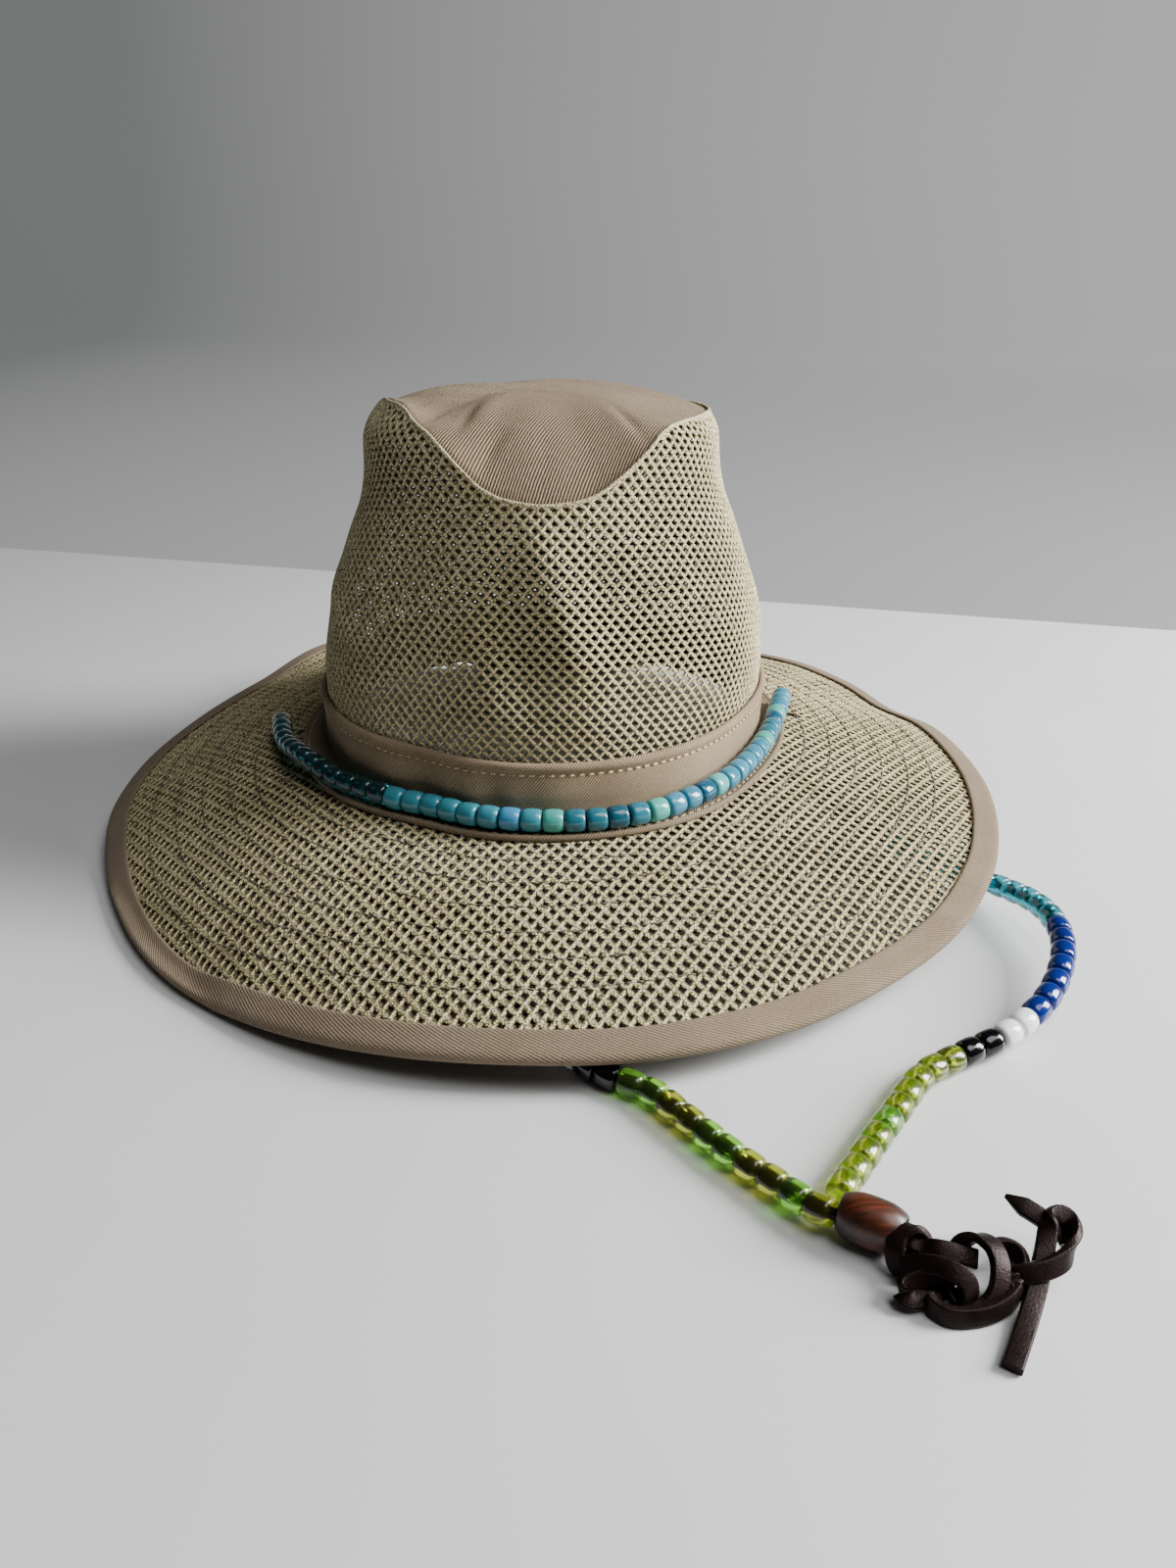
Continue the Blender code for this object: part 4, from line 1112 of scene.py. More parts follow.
# %% Net of the brim, in two layers
BRIM_FIRST = (0.00485, 0.00035)
BRIM_SECOND = (0.00225, 0.00335)
BRIM_STRAND = 0.00125
LAYER_RISE = 0.00052
QUILT_PITCH = 0.0108
QUILT_START = 0.0215
QUILT_HALF = 0.0011
HOLE_RADIUS = 0.0028


def quilt_pull(out):
    """How strongly the quilting pulls, by the distance out from the crown: 1 on a ring."""
    away = (out - QUILT_START + QUILT_PITCH / 2) % QUILT_PITCH - QUILT_PITCH / 2
    away = np.where(out < QUILT_START - QUILT_PITCH / 2, QUILT_PITCH, np.abs(away))
    return bump(away, QUILT_HALF)


def lay_on_brim(points, up):
    """Flat points of the brim at their place on its waves, and the pull of the quilting there."""
    angles = np.degrees(np.arctan2(points[:, 0], -points[:, 1]))
    radius = np.hypot(points[:, 0], points[:, 1])
    inner = brim_inner_radius(angles)
    shares = np.clip((radius - inner) / brim_width(angles), 0.0, 1.0)
    pull = quilt_pull(radius - inner - NET_WALL)
    off = brim_normal(angles, shares) * (up * (1 - 0.75 * pull))[:, None]
    return on_surface(brim_point(angles, shares), REST) + off, pull


def make_brim_layer(name, rise, shift, seed, yarn):
    """One layer of the brim's net, with its two holes for the lace."""
    rng = np.random.default_rng(seed)
    around = all_round(300)
    outer = round_axis(around, brim_outer_radius(around), 0.0)[:, :2]
    inner = round_axis(around, brim_inner_radius(around) + 0.0001, 0.0)[::2, :2]
    holes = [brim_point(np.array([row.angle]), share_at(np.array([row.angle]), row.out))[0, :2]
             + circle(HOLE_RADIUS, 8) for row in HOLE_ROWS]
    flat, faces = cut_net(BRIM_FIRST, BRIM_SECOND, [outer, inner, *holes], shift, 0.00012, 0.0015, rng)
    verts, pull = lay_on_brim(flat, rise)
    across = 0.0003 * unit(np.array([-BRIM_FIRST[1], BRIM_FIRST[0]]))
    beside, _ = lay_on_brim(flat + across, rise)
    openness = 1.0 + rng.normal(0.0, 0.05, len(flat))
    openness *= 1 - 0.30 * pull
    net_piece(name, "brim_net", verts, paired(flat, faces, BRIM_FIRST), openness, beside - verts,
              yarn, 0.56, BRIM_STRAND)


make_brim_layer("brim_net_upper", LAYER_RISE, (0.0, 0.0), 21, BRIM_YARN)
# The lower layer's darker yarn is painted shade under the upper layer.
make_brim_layer("brim_net_lower", -LAYER_RISE, (0.0008, 0.0006), 22, SHADED_UNDER_YARN)

# %% Quilting stitches in the brim's grooves
STITCH_RISE = 0.00085


def make_thread(name, dark, light):
    """Sewing thread with a fine twist."""
    thread, shader = finish(name, light, 0.6, Sheen_Weight=0.2)
    twist = texture("Noise", object_place(shader), Scale=900.0, Detail=2.0)
    feed(shader, {"Base Color": ramp(twist, dark, light, 0.35, 0.6), "Normal": raised(twist, 0.00012)})
    return thread


# The quilting thread is dark: its colour is painted shade, standing for the shade in the grooves.
GROOVE_SHADE_THREAD = make_thread("quilt_thread", (0.045, 0.036, 0.020), (0.11, 0.088, 0.050))
GOLD_THREAD = make_thread("gold_thread", (0.34, 0.25, 0.12), (0.70, 0.55, 0.30))


def quilt_lines():
    """Rings of quilting at even distances from the crown, as far as the binding."""
    around = all_round(540)
    lines = []
    out = QUILT_START
    while ((1 - share_at(around, out)) * brim_width(around)).min() >= BINDING_WIDTH + 2 * MM:
        shares = share_at(around, out)
        line = on_surface(brim_point(around, shares), REST)
        lines.append(line + brim_normal(around, shares) * STITCH_RISE)
        out += QUILT_PITCH
    return lines


stitch_piece("brim_quilting", quilt_lines(), "brim_net", "net", GROOVE_SHADE_THREAD,
             Pitch=0.0034, Length=0.0032, Thickness=0.00085)

# %% [markdown]
# ## Twill: the top, the band, the tape and the binding
#
# The woven parts are cotton twill. Its threads run in fine slanting ribs, steep on the top panel
# and shallow on the bias-cut binding. The ribs are far finer than the folds, so they are drawn by
# the material on the cloth's own flat map, while folds, rolled edges and stitches are real shape.

# %% Twill in different cuts
THREAD_STRETCH = (2400.0, 500.0, 1.0)


def make_twill(name, dark, light, slant, period, depth):
    """Woven twill: ribs at a slant to the cloth's length, threads across them, soft patches."""
    twill, shader = finish(name, light, 0.9, Sheen_Weight=0.05, Sheen_Roughness=0.5,
                           Specular_IOR_Level=0.2)
    flat = cloth_place(shader)
    ribs = texture("Wave", turned(flat, slant), Scale=2 * math.pi / (20 * period), Distortion=1.1,
                   Detail=2.0, Detail_Scale=1.5)
    threads = texture("Noise", turned(flat, slant, THREAD_STRETCH), Scale=1.0, Detail=2.0,
                      Roughness=0.6)
    patches = texture("Noise", object_place(shader), Scale=30.0, Detail=3.0, Roughness=0.55)
    rib_colour = ramp(ribs, dark, light, 0.15, 0.75)
    thread_shade = ramp(threads, (0.72, 0.71, 0.69), WHITE, 0.30, 0.62)
    patch_shade = ramp(patches, (0.84, 0.82, 0.80), WHITE, 0.35, 0.65)
    feed(shader, {"Base Color": multiplied(rib_colour, thread_shade, patch_shade),
                  "Normal": raised(ribs, depth, raised(threads, 0.35 * depth))})
    return twill


TOP_TWILL = make_twill("top_twill", (0.113, 0.081, 0.048), (0.39, 0.298, 0.196), 28.0, 0.00100, 0.00028)
BAND_TWILL = make_twill("band_twill", (0.175, 0.131, 0.078), (0.44, 0.336, 0.220), 38.0, 0.0009, 0.00014)
TAPE_TWILL = make_twill("tape_twill", (0.15, 0.113, 0.071), (0.34, 0.262, 0.178), 38.0, 0.0009, 0.00014)
BINDING_TWILL = make_twill("binding_twill", (0.17, 0.129, 0.085), (0.30, 0.232, 0.160), 62.0,
                           0.00092, 0.00010)

# %% The twill top
FINE_STEPS = 360
RIGHT_SIDE = 78
CREASE_ROWS = table("x y turn width length size",
    (-44, -34, -15, 1.5, 5, 0.8), (-37, -47, -22, 1.4, 6, 0.8), (-33, -44, -20, 3.0, 10, -0.5),
    (-24.5, -48, -12, 1.7, 10, 1.0), (-19, -50, -12, 3.2, 12, -0.5), (-15.5, -64, -32, 1.4, 6, 0.95),
    (-10, -62, -25, 2.6, 8, -0.4), (3, -63, 0, 2.6, 8, 0.4), (33, -49, 27, 1.5, 9, 0.85),
    (29, -52, 27, 3.0, 9, -0.4), (40, -18, -60, 3.0, 12, 0.45), (-4, -18, 60, 3.0, 15, 0.5),
    (-28, -22, 86, 2.5, 12, 0.45), (10, 20, 40, 4.0, 16, 0.4), (-41, -37, 35, 11, 26, 3.2),
    (42, -37, -35, 11, 26, 1.4))


def dome_points(angles, ring, below):
    """Points of the twill top: ring 1 at its rim and 0 in the middle, below = depth under it."""
    rim = wall_skin(angles, seam_height(angles), -NET_WALL - GAP - below)
    top = FOOT_HEIGHT + CROWN_HEIGHT + DOME_RISE
    power = DOME_POWER - RIGHT_SOFTER * bump(wrapped(angles - RIGHT_SIDE), 36)
    height = rim[:, 2] + (top - below - rim[:, 2]) * (1 - ring ** power)
    for fold in FOLD_ROWS:
        across = bump(wrapped(angles - fold.angle), fold.half_angle)
        deep = bump(ring - fold.ring, fold.half_ring)
        height = height - FOLD_DEPTH * fold.depth * across * deep * (1 - ring ** 6)
    points = stack(rim[:, 0] * ring, rim[:, 1] * ring, height)
    drop = np.zeros(len(points))
    for row in CREASE_ROWS:
        drop += hump(points[:, 0], points[:, 1], row)
    points[:, 2] -= drop * (1 - ring ** 8)
    return points


def make_crown_top():
    """Two sheets of twill, sewn under the net at the rim and each closed in its middle."""
    angles = all_round(FINE_STEPS)
    rings = np.concatenate([np.linspace(1.0, 0.9, 5), np.linspace(0.87, 0.03, 29)])
    seam = seam_height(angles)
    foot = foot_height(angles) + BRIM_WALL / 2 + GAP
    rows = []
    for depth, way in ((0.0, 1), (TOP_WALL, -1)):
        sheet = [wall_skin(angles, foot + (seam - foot) * share, -NET_WALL - GAP - depth)
                 for share in (0.95, 0.975)]
        sheet += [dome_points(angles, ring, depth) for ring in rings]
        rows += sheet[::way]
    half = len(rows) // 2
    size = FINE_STEPS
    faces, _, _ = ring_faces(len(rows), size, len(rows))
    del faces[(half - 1) * size:half * size]
    here = np.arange(size)
    after = np.roll(here, -1)
    for row, pole, pair in ((half - 1, 0, (here, after)), (half, 1, (after, here))):
        corners = [row * size + place for place in pair] + [np.full(size, len(rows) * size + pole)]
        faces += np.stack(corners, axis=1).tolist()
    poles = [rows[half - 1].mean(axis=0), rows[half].mean(axis=0)]
    verts = np.concatenate([*rows, poles])
    corner_map = verts[np.concatenate(faces)][:, :2]
    mesh = cloth_mesh("crown_top_twill", verts, faces, corner_map, 70)
    link_piece("crown_top_twill", mesh, "crown_top", TOP_TWILL)


make_crown_top()

# %% The band and its row of stitches, in millimetres up and out
BAND_SECTION = table("up out",
    (0.0, 0.3), (0.0, 1.5), (0.5, 1.95), (4.0, 2.0), (9.0, 2.0), (14.0, 1.95), (16.6, 1.75),
    (17.5, 1.55), (18.2, 1.95), (19.3, 2.65), (20.4, 2.8), (21.3, 2.45), (21.8, 1.7), (21.9, 1.0),
    (21.6, 0.45), (20.6, 0.3))
BAND_STITCH_UP = 17.4
RIPPLE = 0.80
BUCKLE_UP = 0.4 * BAND_HEIGHT


def band_buckle(angles, up):
    """How far the band stands off in its soft buckles, most in its lower half."""
    share = up / BUCKLE_UP
    if up > BUCKLE_UP:
        share = (BAND_HEIGHT - up) / (0.6 * BAND_HEIGHT)
    total = np.zeros(len(angles))
    for row in BUCKLE_ROWS:
        total += row.depth * bump(wrapped(angles - row.angle), row.half_angle)
    small = RIPPLE * np.sin(np.radians(angles * 19)) * bump(wrapped(angles + 24), 20)
    return BUCKLE_DEPTH * (total + small) * np.clip(share, 0.0, 1.0)


def make_band():
    """The band stands on the tape; its lowest and innermost edges stay flat."""
    angles = all_round(540)
    foot = foot_height(angles) + BRIM_WALL / 2 + GAP + TAPE_WALL + GAP
    rows = []
    for row in BAND_SECTION:
        buckle = band_buckle(angles, row.up * MM) if row.out > 0.5 else 0.0
        rows.append(wall_skin(angles, foot + row.up * MM, row.out * MM + buckle))
    ring_piece("crown_band_twill", rows, "crown_band", BAND_TWILL)
    up = BAND_STITCH_UP * MM
    line = wall_skin(angles, foot + up, 0.00178 + band_buckle(angles, up))
    stitch_piece("crown_band_stitches", [line], "crown_band", "twill", GOLD_THREAD,
                 Pitch=0.0035, Length=0.0026, Thickness=0.0009, Lean=(0.0, 0.0, 0.10))


make_band()

# %% The tape on the brim, in millimetres out and up
TAPE_SECTION = table("out up",
    (0.3, 0.0), (6.0, 0.0), (11.9, 0.0), (12.3, 0.5), (12.35, 1.3), (12.0, 2.0), (11.4, 2.35),
    (10.7, 2.1), (10.1, 1.5), (9.4, 1.15), (6.0, 1.2), (3.0, 1.2), (0.3, 1.2))
TAPE_STITCH_OUT = 9.5


def make_tape():
    """A flat flange with a rolled outer edge, sewn down inside its roll."""
    angles = all_round(540)
    bottom = BRIM_WALL / 2 + GAP
    rows = [brim_skin(angles, share_at(angles, row.out * MM), bottom + row.up * MM)
            for row in TAPE_SECTION]
    ring_piece("brim_tape_twill", rows, "brim_tape", TAPE_TWILL)
    line = brim_skin(angles, share_at(angles, TAPE_STITCH_OUT * MM), bottom + 0.00128)
    stitch_piece("brim_tape_stitches", [line], "brim_tape", "twill", GOLD_THREAD,
                 Pitch=0.0037, Length=0.0028, Thickness=0.0007)


make_tape()

# %% The binding round the edge
def binding_section():
    """The folded strip in section: over the edge, round the nose and back under it, in metres."""
    inside = BRIM_WALL / 2 + GAP
    outside = inside + BINDING_WALL
    nose = GAP + BINDING_WALL
    top = BRIM_WALL + 2 * GAP + BINDING_WALL
    over = top + BINDING_WALL
    wide = BINDING_WIDTH
    return table(
        "out side least",
        (-wide, inside + 0.0003, top + 0.0003), (-wide + 0.0002, outside - 0.0001, over - 0.0001),
        (-wide + 0.0009, outside + 0.0001, over), (-0.0070, outside, over), (-0.0045, outside, over),
        (-0.0020, outside, over), (-0.0004, outside - 0.0001, over),
        (nose - 0.0006, 0.72 * outside, over - 0.0008), (nose - 0.0001, 0.36 * outside, 0.62 * over),
        (nose, 0.0, 0.45 * over), (nose - 0.0001, -0.36 * outside, 0.28 * over),
        (nose - 0.0006, -0.72 * outside, 0.0006), (-0.0004, -outside, 0.0), (-0.0035, -outside, 0.0),
        (-wide, -outside, 0.0), (-wide, -inside, BINDING_WALL), (-0.0040, -inside, BINDING_WALL),
        (GAP, -inside, BINDING_WALL), (GAP, inside, top), (-0.0040, inside, top))


edge_angles = all_round(720)
binding = [on_surface(edge_point(edge_angles, row.out, row.side), row.least)
           for row in binding_section()]
ring_piece("brim_binding_twill", binding, "brim_binding", BINDING_TWILL)

# %% [markdown]
# ## The chin strap
#
# A leather lace carries the beads. It runs round the front of the crown, down through a hole on
# each side of the brim, and forward under the brim and over its edge to the wooden slide. Beads
# were threaded on by colour: sky and mint over the crown, clear dark teal on both sides, then
# cobalt, white and black, and clear green near the slide.

# %% Beads, lace and wood materials
SLIDE_TURN = -29.0


def make_bead_wall(name, colour, roughness, scale, detail, low, **settings):
    """Plastic in the bead's own colour, very slightly uneven."""
    wall, shader = finish(name, colour, roughness, **settings)
    tint = carried(shader, "tint", "Color")
    worn = texture("Noise", object_place(shader), Scale=scale, Detail=detail)
    feed(shader, {"Base Color": multiplied(tint, ramp(worn, (0.90, 0.90, 0.90), WHITE, low, 0.6))})
    return wall, shader, worn


def make_bead_solid():
    """Glossy opaque plastic, faintly uneven."""
    wall, shader, worn = make_bead_wall(
        "bead_solid", (0.1, 0.35, 0.45), 0.13, 520.0, 3.0, 0.3, Coat_Weight=0.15, Coat_Roughness=0.05,
        IOR=1.5, Subsurface_Weight=0.08, Subsurface_Scale=0.002)
    feed(shader, {"Normal": raised(worn, 0.00003)})
    return wall


def make_bead_clear():
    """Clear tinted plastic: light goes through and leaves the bead's colour on the surface."""
    return make_bead_wall(
        "bead_clear", (0.1, 0.5, 0.3), 0.20, 260.0, 2.0, 0.35, IOR=1.46, Coat_Weight=0.35,
        Coat_Roughness=0.04, Transmission_Weight=0.97)[0]


def make_leather():
    """Dark brown leather lace with fine grain and a dull shine."""
    leather, shader = finish("lace_leather", (0.03, 0.018, 0.012), 0.42, Specular_IOR_Level=0.15,
                             Specular_Tint=(0.95, 0.72, 0.70, 1.0))
    place = object_place(shader)
    grain = texture("Voronoi", place, Scale=1500.0)
    worn = texture("Noise", place, Scale=160.0, Detail=4.0, Roughness=0.65)
    brown = ramp(worn, (0.0030, 0.0018, 0.0017), (0.013, 0.0066, 0.0056), 0.35, 0.72)
    feed(shader, {"Base Color": brown, "Normal": raised(grain, 0.00006, raised(worn, 0.00015))})
    return leather


def make_wood():
    """Lacquered reddish wood; the grain runs along the slide, and lighter amber patches are painted
    highlight.
    """
    wood, shader = finish("slide_wood", (0.20, 0.055, 0.022), 0.40, Coat_Weight=0.10, Coat_Roughness=0.12)
    place = object_place(shader)
    grain = texture("Noise", turned(place, -SLIDE_TURN, (70.0, 900.0, 600.0)), Scale=1.0, Detail=4.0,
                    Roughness=0.6)
    patch = texture("Noise", place, Scale=95.0, Detail=1.0)
    red = ramp(grain, (0.006, 0.0017, 0.0009), (0.040, 0.0095, 0.0033), 0.30, 0.70)
    # Painted highlight: noise patches where the wood's colour is made much lighter and amber.
    amber_highlight = ramp(patch, WHITE, (3.2, 2.6, 1.4), 0.48, 0.66)
    feed(shader, {"Base Color": multiplied(red, amber_highlight), "Normal": raised(grain, 0.00004)})
    return wood


BEAD_SOLID = make_bead_solid()
BEAD_CLEAR = make_bead_clear()
LEATHER = make_leather()
WOOD = make_wood()

# %% Colours in threading order
TINTS = {
    "pale": (0.42, 0.66, 0.68), "teal": (0.050, 0.34, 0.40), "sky": (0.037, 0.215, 0.274),
    "bright": (0.048, 0.222, 0.385), "mint": (0.056, 0.348, 0.296), "harbour": (0.022, 0.148, 0.204),
    "slate": (0.012, 0.078, 0.118), "fresh": (0.067, 0.400, 0.326), "blue": (0.041, 0.200, 0.296),
    "night": (0.010, 0.081, 0.141), "aqua": (0.081, 0.370, 0.370), "cobalt": (0.004, 0.016, 0.148),
    "white": (0.78, 0.80, 0.82), "black": (0.002, 0.002, 0.0025), "lime": (0.56, 0.69, 0.06),
    "grass": (0.38, 0.82, 0.14), "green": (0.34, 0.86, 0.08), "olive": (0.52, 0.58, 0.05),
}
CLEAR_TINTS = ("teal", "pale", "lime", "grass", "green", "olive")


def threaded(text):
    """Colours of beads in order; 7*cobalt stands for seven of them."""
    colours = []
    for word in text.split():
        count, _, colour = word.rpartition("*")
        colours += [colour] * int(count or 1)
    return colours


RUN_COLOURS = threaded("pale 13*teal 6*sky bright sky mint 2*harbour slate harbour fresh 2*blue night "
                       "aqua 5*blue mint 2*harbour night mint 3*blue")
RIGHT_COLOURS = threaded("20*teal 7*cobalt 2*white 2*black 5*lime grass 4*lime")
LEFT_COLOURS = threaded("21*teal 7*cobalt 2*white 2*black 2*green 2*olive 2*green 2*olive green olive")

# %% The bead's turned shape, in millimetres
BEAD_PROFILE = table("along radius",
    (-3.6, 1.55), (-3.72, 2.35), (-3.66, 3.1), (-3.4, 3.62), (-2.8, 3.98), (-1.8, 4.18), (0.0, 4.25),
    (1.8, 4.18), (2.8, 3.98), (3.4, 3.62), (3.66, 3.1), (3.72, 2.35), (3.6, 1.55))
BEAD_STEPS = 20


def turned_body(name, profile, steps):
    """A closed ring-shaped body turned round the z axis, its bore included."""
    verts = [np.c_[circle(row.radius, steps), np.full(steps, row.along)] * MM for row in profile]
    faces, _, _ = ring_faces(len(profile), steps, len(profile))
    mesh = bpy.data.meshes.new(name)
    mesh.from_pydata(np.concatenate(verts).tolist(), [], faces)
    face_outwards(mesh)
    mesh.shade_smooth()
    return mesh


bead_shape = put("bead_shape", turned_body("bead_shape", BEAD_PROFILE, BEAD_STEPS))

# %% The way of the lace
SLIDE_PLACE = np.array([82.0, -250.5, 6.5]) * MM
LAST_BEAD_END = np.array([80.3, -251.4, 6.3]) * MM
SLIDE_AXIS = np.array([math.cos(math.radians(SLIDE_TURN)), math.sin(math.radians(SLIDE_TURN)), 0.0])
SLIDE_ACROSS = np.array([-SLIDE_AXIS[1], SLIDE_AXIS[0], 0.0])
UPWARD = np.array([0.0, 0.0, 1.0])


def run_points():
    """Middles of the beads on the run round the crown."""
    radius = BEAD_DIAMETER / 2
    points = []
    for row in CROWN_RUN:
        angle = np.array([row.angle])
        out = GAP + BAND_WALL + GAP + radius + row.off
        up = BRIM_WALL / 2 + GAP + TAPE_WALL + GAP + radius + row.rise
        points.append(brim_skin(angle, share_at(angle, out), np.array([up]))[0])
    return points


def route_points(rows):
    """A route in metres."""
    return list(np.array(rows, float) * MM)


def lace_aside(side):
    """Where one of the two laces lies beside the slide's axis."""
    return SLIDE_ACROSS * side * (LACE_DIAMETER + GAP) / 2


def into_slide(side):
    """The last stretch of a lace, into the slide as far as its middle."""
    start = SLIDE_PLACE + lace_aside(side)
    return [start - SLIDE_AXIS * LACE_DIAMETER, start, start + SLIDE_AXIS * (SLIDE_LENGTH - GAP) / 2]


def through_hole(row, bead_end, onward):
    """Bare lace from a bead's end, turned over and straight down through its hole."""
    angle = np.array([row.angle])
    hole = brim_point(angle, share_at(angle, row.out))[0]
    top = hole + UPWARD * (BRIM_WALL / 2 + 1.5 * LACE_DIAMETER)
    bend = (bead_end + top) / 2 + onward * LACE_DIAMETER
    below = hole - UPWARD * (BRIM_WALL / 2 + LACE_DIAMETER)
    return [bead_end + onward * LACE_DIAMETER / 2, bend, top, hole, below]


def bead_places(points):
    """Middles of the beads along a route and the ways they point."""
    fine = smooth_line(points, BEAD_PITCH / 2)
    if len(fine) % 2 == 0:
        fine = smooth_line(points, line_length(points) / len(fine))
    fine = on_surface(fine, BEAD_DIAMETER / 2)
    return fine[1::2], unit(fine[2::2] - fine[:-2:2])


def bead_piece(name, places, ways, colours, clear, node):
    """All solid or all clear beads of one stretch as one piece."""
    chosen = [index for index in range(len(places)) if (colours[index] in CLEAR_TINTS) == clear]
    if not chosen:
        return
    rng = np.random.default_rng(5 + len(chosen))
    leaning = unit(ways[chosen] + rng.normal(0.0, 0.035, (len(chosen), 3)))
    tints = np.array([TINTS[colours[index]] for index in chosen])
    tints = np.clip(tints * (1 + rng.normal(0.0, 0.07, (len(chosen), 1))), 0.0, 1.0)
    guide = bpy.data.meshes.new(name)
    guide.from_pydata(in_frame(places[chosen]).tolist(), [], [])
    guide.attributes.new("along", "FLOAT_VECTOR", "POINT").data.foreach_set(
        "vector", leaning.astype(np.float32).ravel())
    guide.attributes.new("tint", "FLOAT_COLOR", "POINT").data.foreach_set(
        "color", np.c_[tints, np.ones(len(tints))].astype(np.float32).ravel())
    wall = BEAD_CLEAR if clear else BEAD_SOLID
    link_piece(name, grown(name, guide, BEAD_TREE, {"Bead": bead_shape, "Wall": wall}), node)


run = run_points()
stretches = [
    ("run", run, RUN_COLOURS, "bead_string_right"),
    ("right", route_points(RIGHT_ROUTE), RIGHT_COLOURS, "bead_string_right"),
    ("left", route_points(LEFT_ROUTE) + [LAST_BEAD_END], LEFT_COLOURS, "bead_string_left"),
]
for label, points, colours, node in stretches:
    places, ways = bead_places(points)
    count = len(places)
    colours = ["teal"] * (count - len(colours)) + colours[max(0, len(colours) - count):]
    print(label, "beads:", count, "pitch", round(line_length(points) / count / MM, 2), "mm")
    bead_piece("beads_" + label + "_solid", places, ways, colours, False, node)
    bead_piece("beads_" + label + "_clear", places, ways, colours, True, node)
bpy.data.objects.remove(bead_shape)

# %% The lace inside the beads
LACE_RADIUS = 0.00165


def lace_piece(name, points, node):
    """A round lace along its points."""
    body = swept(smooth_line(points, 0.0020), circle(LACE_RADIUS, 10))
    link_piece(name, joined_mesh(name, [body]), node, LEATHER)


def bead_way(points):
    """The same line as the beads follow, raised off the surface where it would sink."""
    return list(on_surface(smooth_line(points, 0.010), BEAD_DIAMETER / 2))


left_hole, right_hole = HOLE_ROWS
down_left = through_hole(left_hole, run[0], unit(run[0] - run[1]))
down_right = through_hole(right_hole, run[-1], unit(run[-1] - run[-2]))
start = down_left[-1] - UPWARD * GAP
lace_piece("lace_right", down_left[::-1] + bead_way(run) + down_right
           + bead_way(route_points(RIGHT_ROUTE)) + into_slide(1), "bead_string_right")
lace_piece("lace_left", [start, start - UPWARD * LACE_DIAMETER] + bead_way(route_points(LEFT_ROUTE))
           + into_slide(-1), "bead_string_left")

# %% The wooden slide, in millimetres
SLIDE_PROFILE = table("along radius",
    (0.35, 4.0), (0.0, 4.25), (0.05, 4.55), (0.55, 4.95), (1.5, 5.45), (2.8, 5.95), (4.4, 6.35),
    (6.2, 6.5), (8.25, 6.55), (10.3, 6.5), (12.1, 6.35), (13.7, 5.95), (15.0, 5.45), (15.95, 4.95),
    (16.45, 4.55), (16.5, 4.25), (16.15, 4.0), (8.25, 4.0))
SLIDE_STEPS = 40


def make_slide():
    """Turned about z, then laid along its axis."""
    mesh = turned_body("wood_slide_turned", SLIDE_PROFILE, SLIDE_STEPS)
    x, y, z = points_of(mesh).T[:, :, None]
    placed = SLIDE_PLACE + z * SLIDE_AXIS + x * SLIDE_ACROSS + y * UPWARD
    mesh.vertices.foreach_set("co", in_frame(placed).astype(np.float32).ravel())
    mesh.update()
    face_outwards(mesh)
    link_piece("wood_slide_turned", mesh, "wood_slide", WOOD)


make_slide()

# %% [markdown]
# ## The knot
#
# After the slide the two laces are tied. They are flat strips there, wider than thick, and they
# lie over and under each other: a neck, a wrap round it, an arc below, a loop that stands up on
# the right, and two free tails. Each stroke below is one visible stretch of lace. A row gives a
# point in millimetres and then the way in which the lace is wide there, if that has changed.

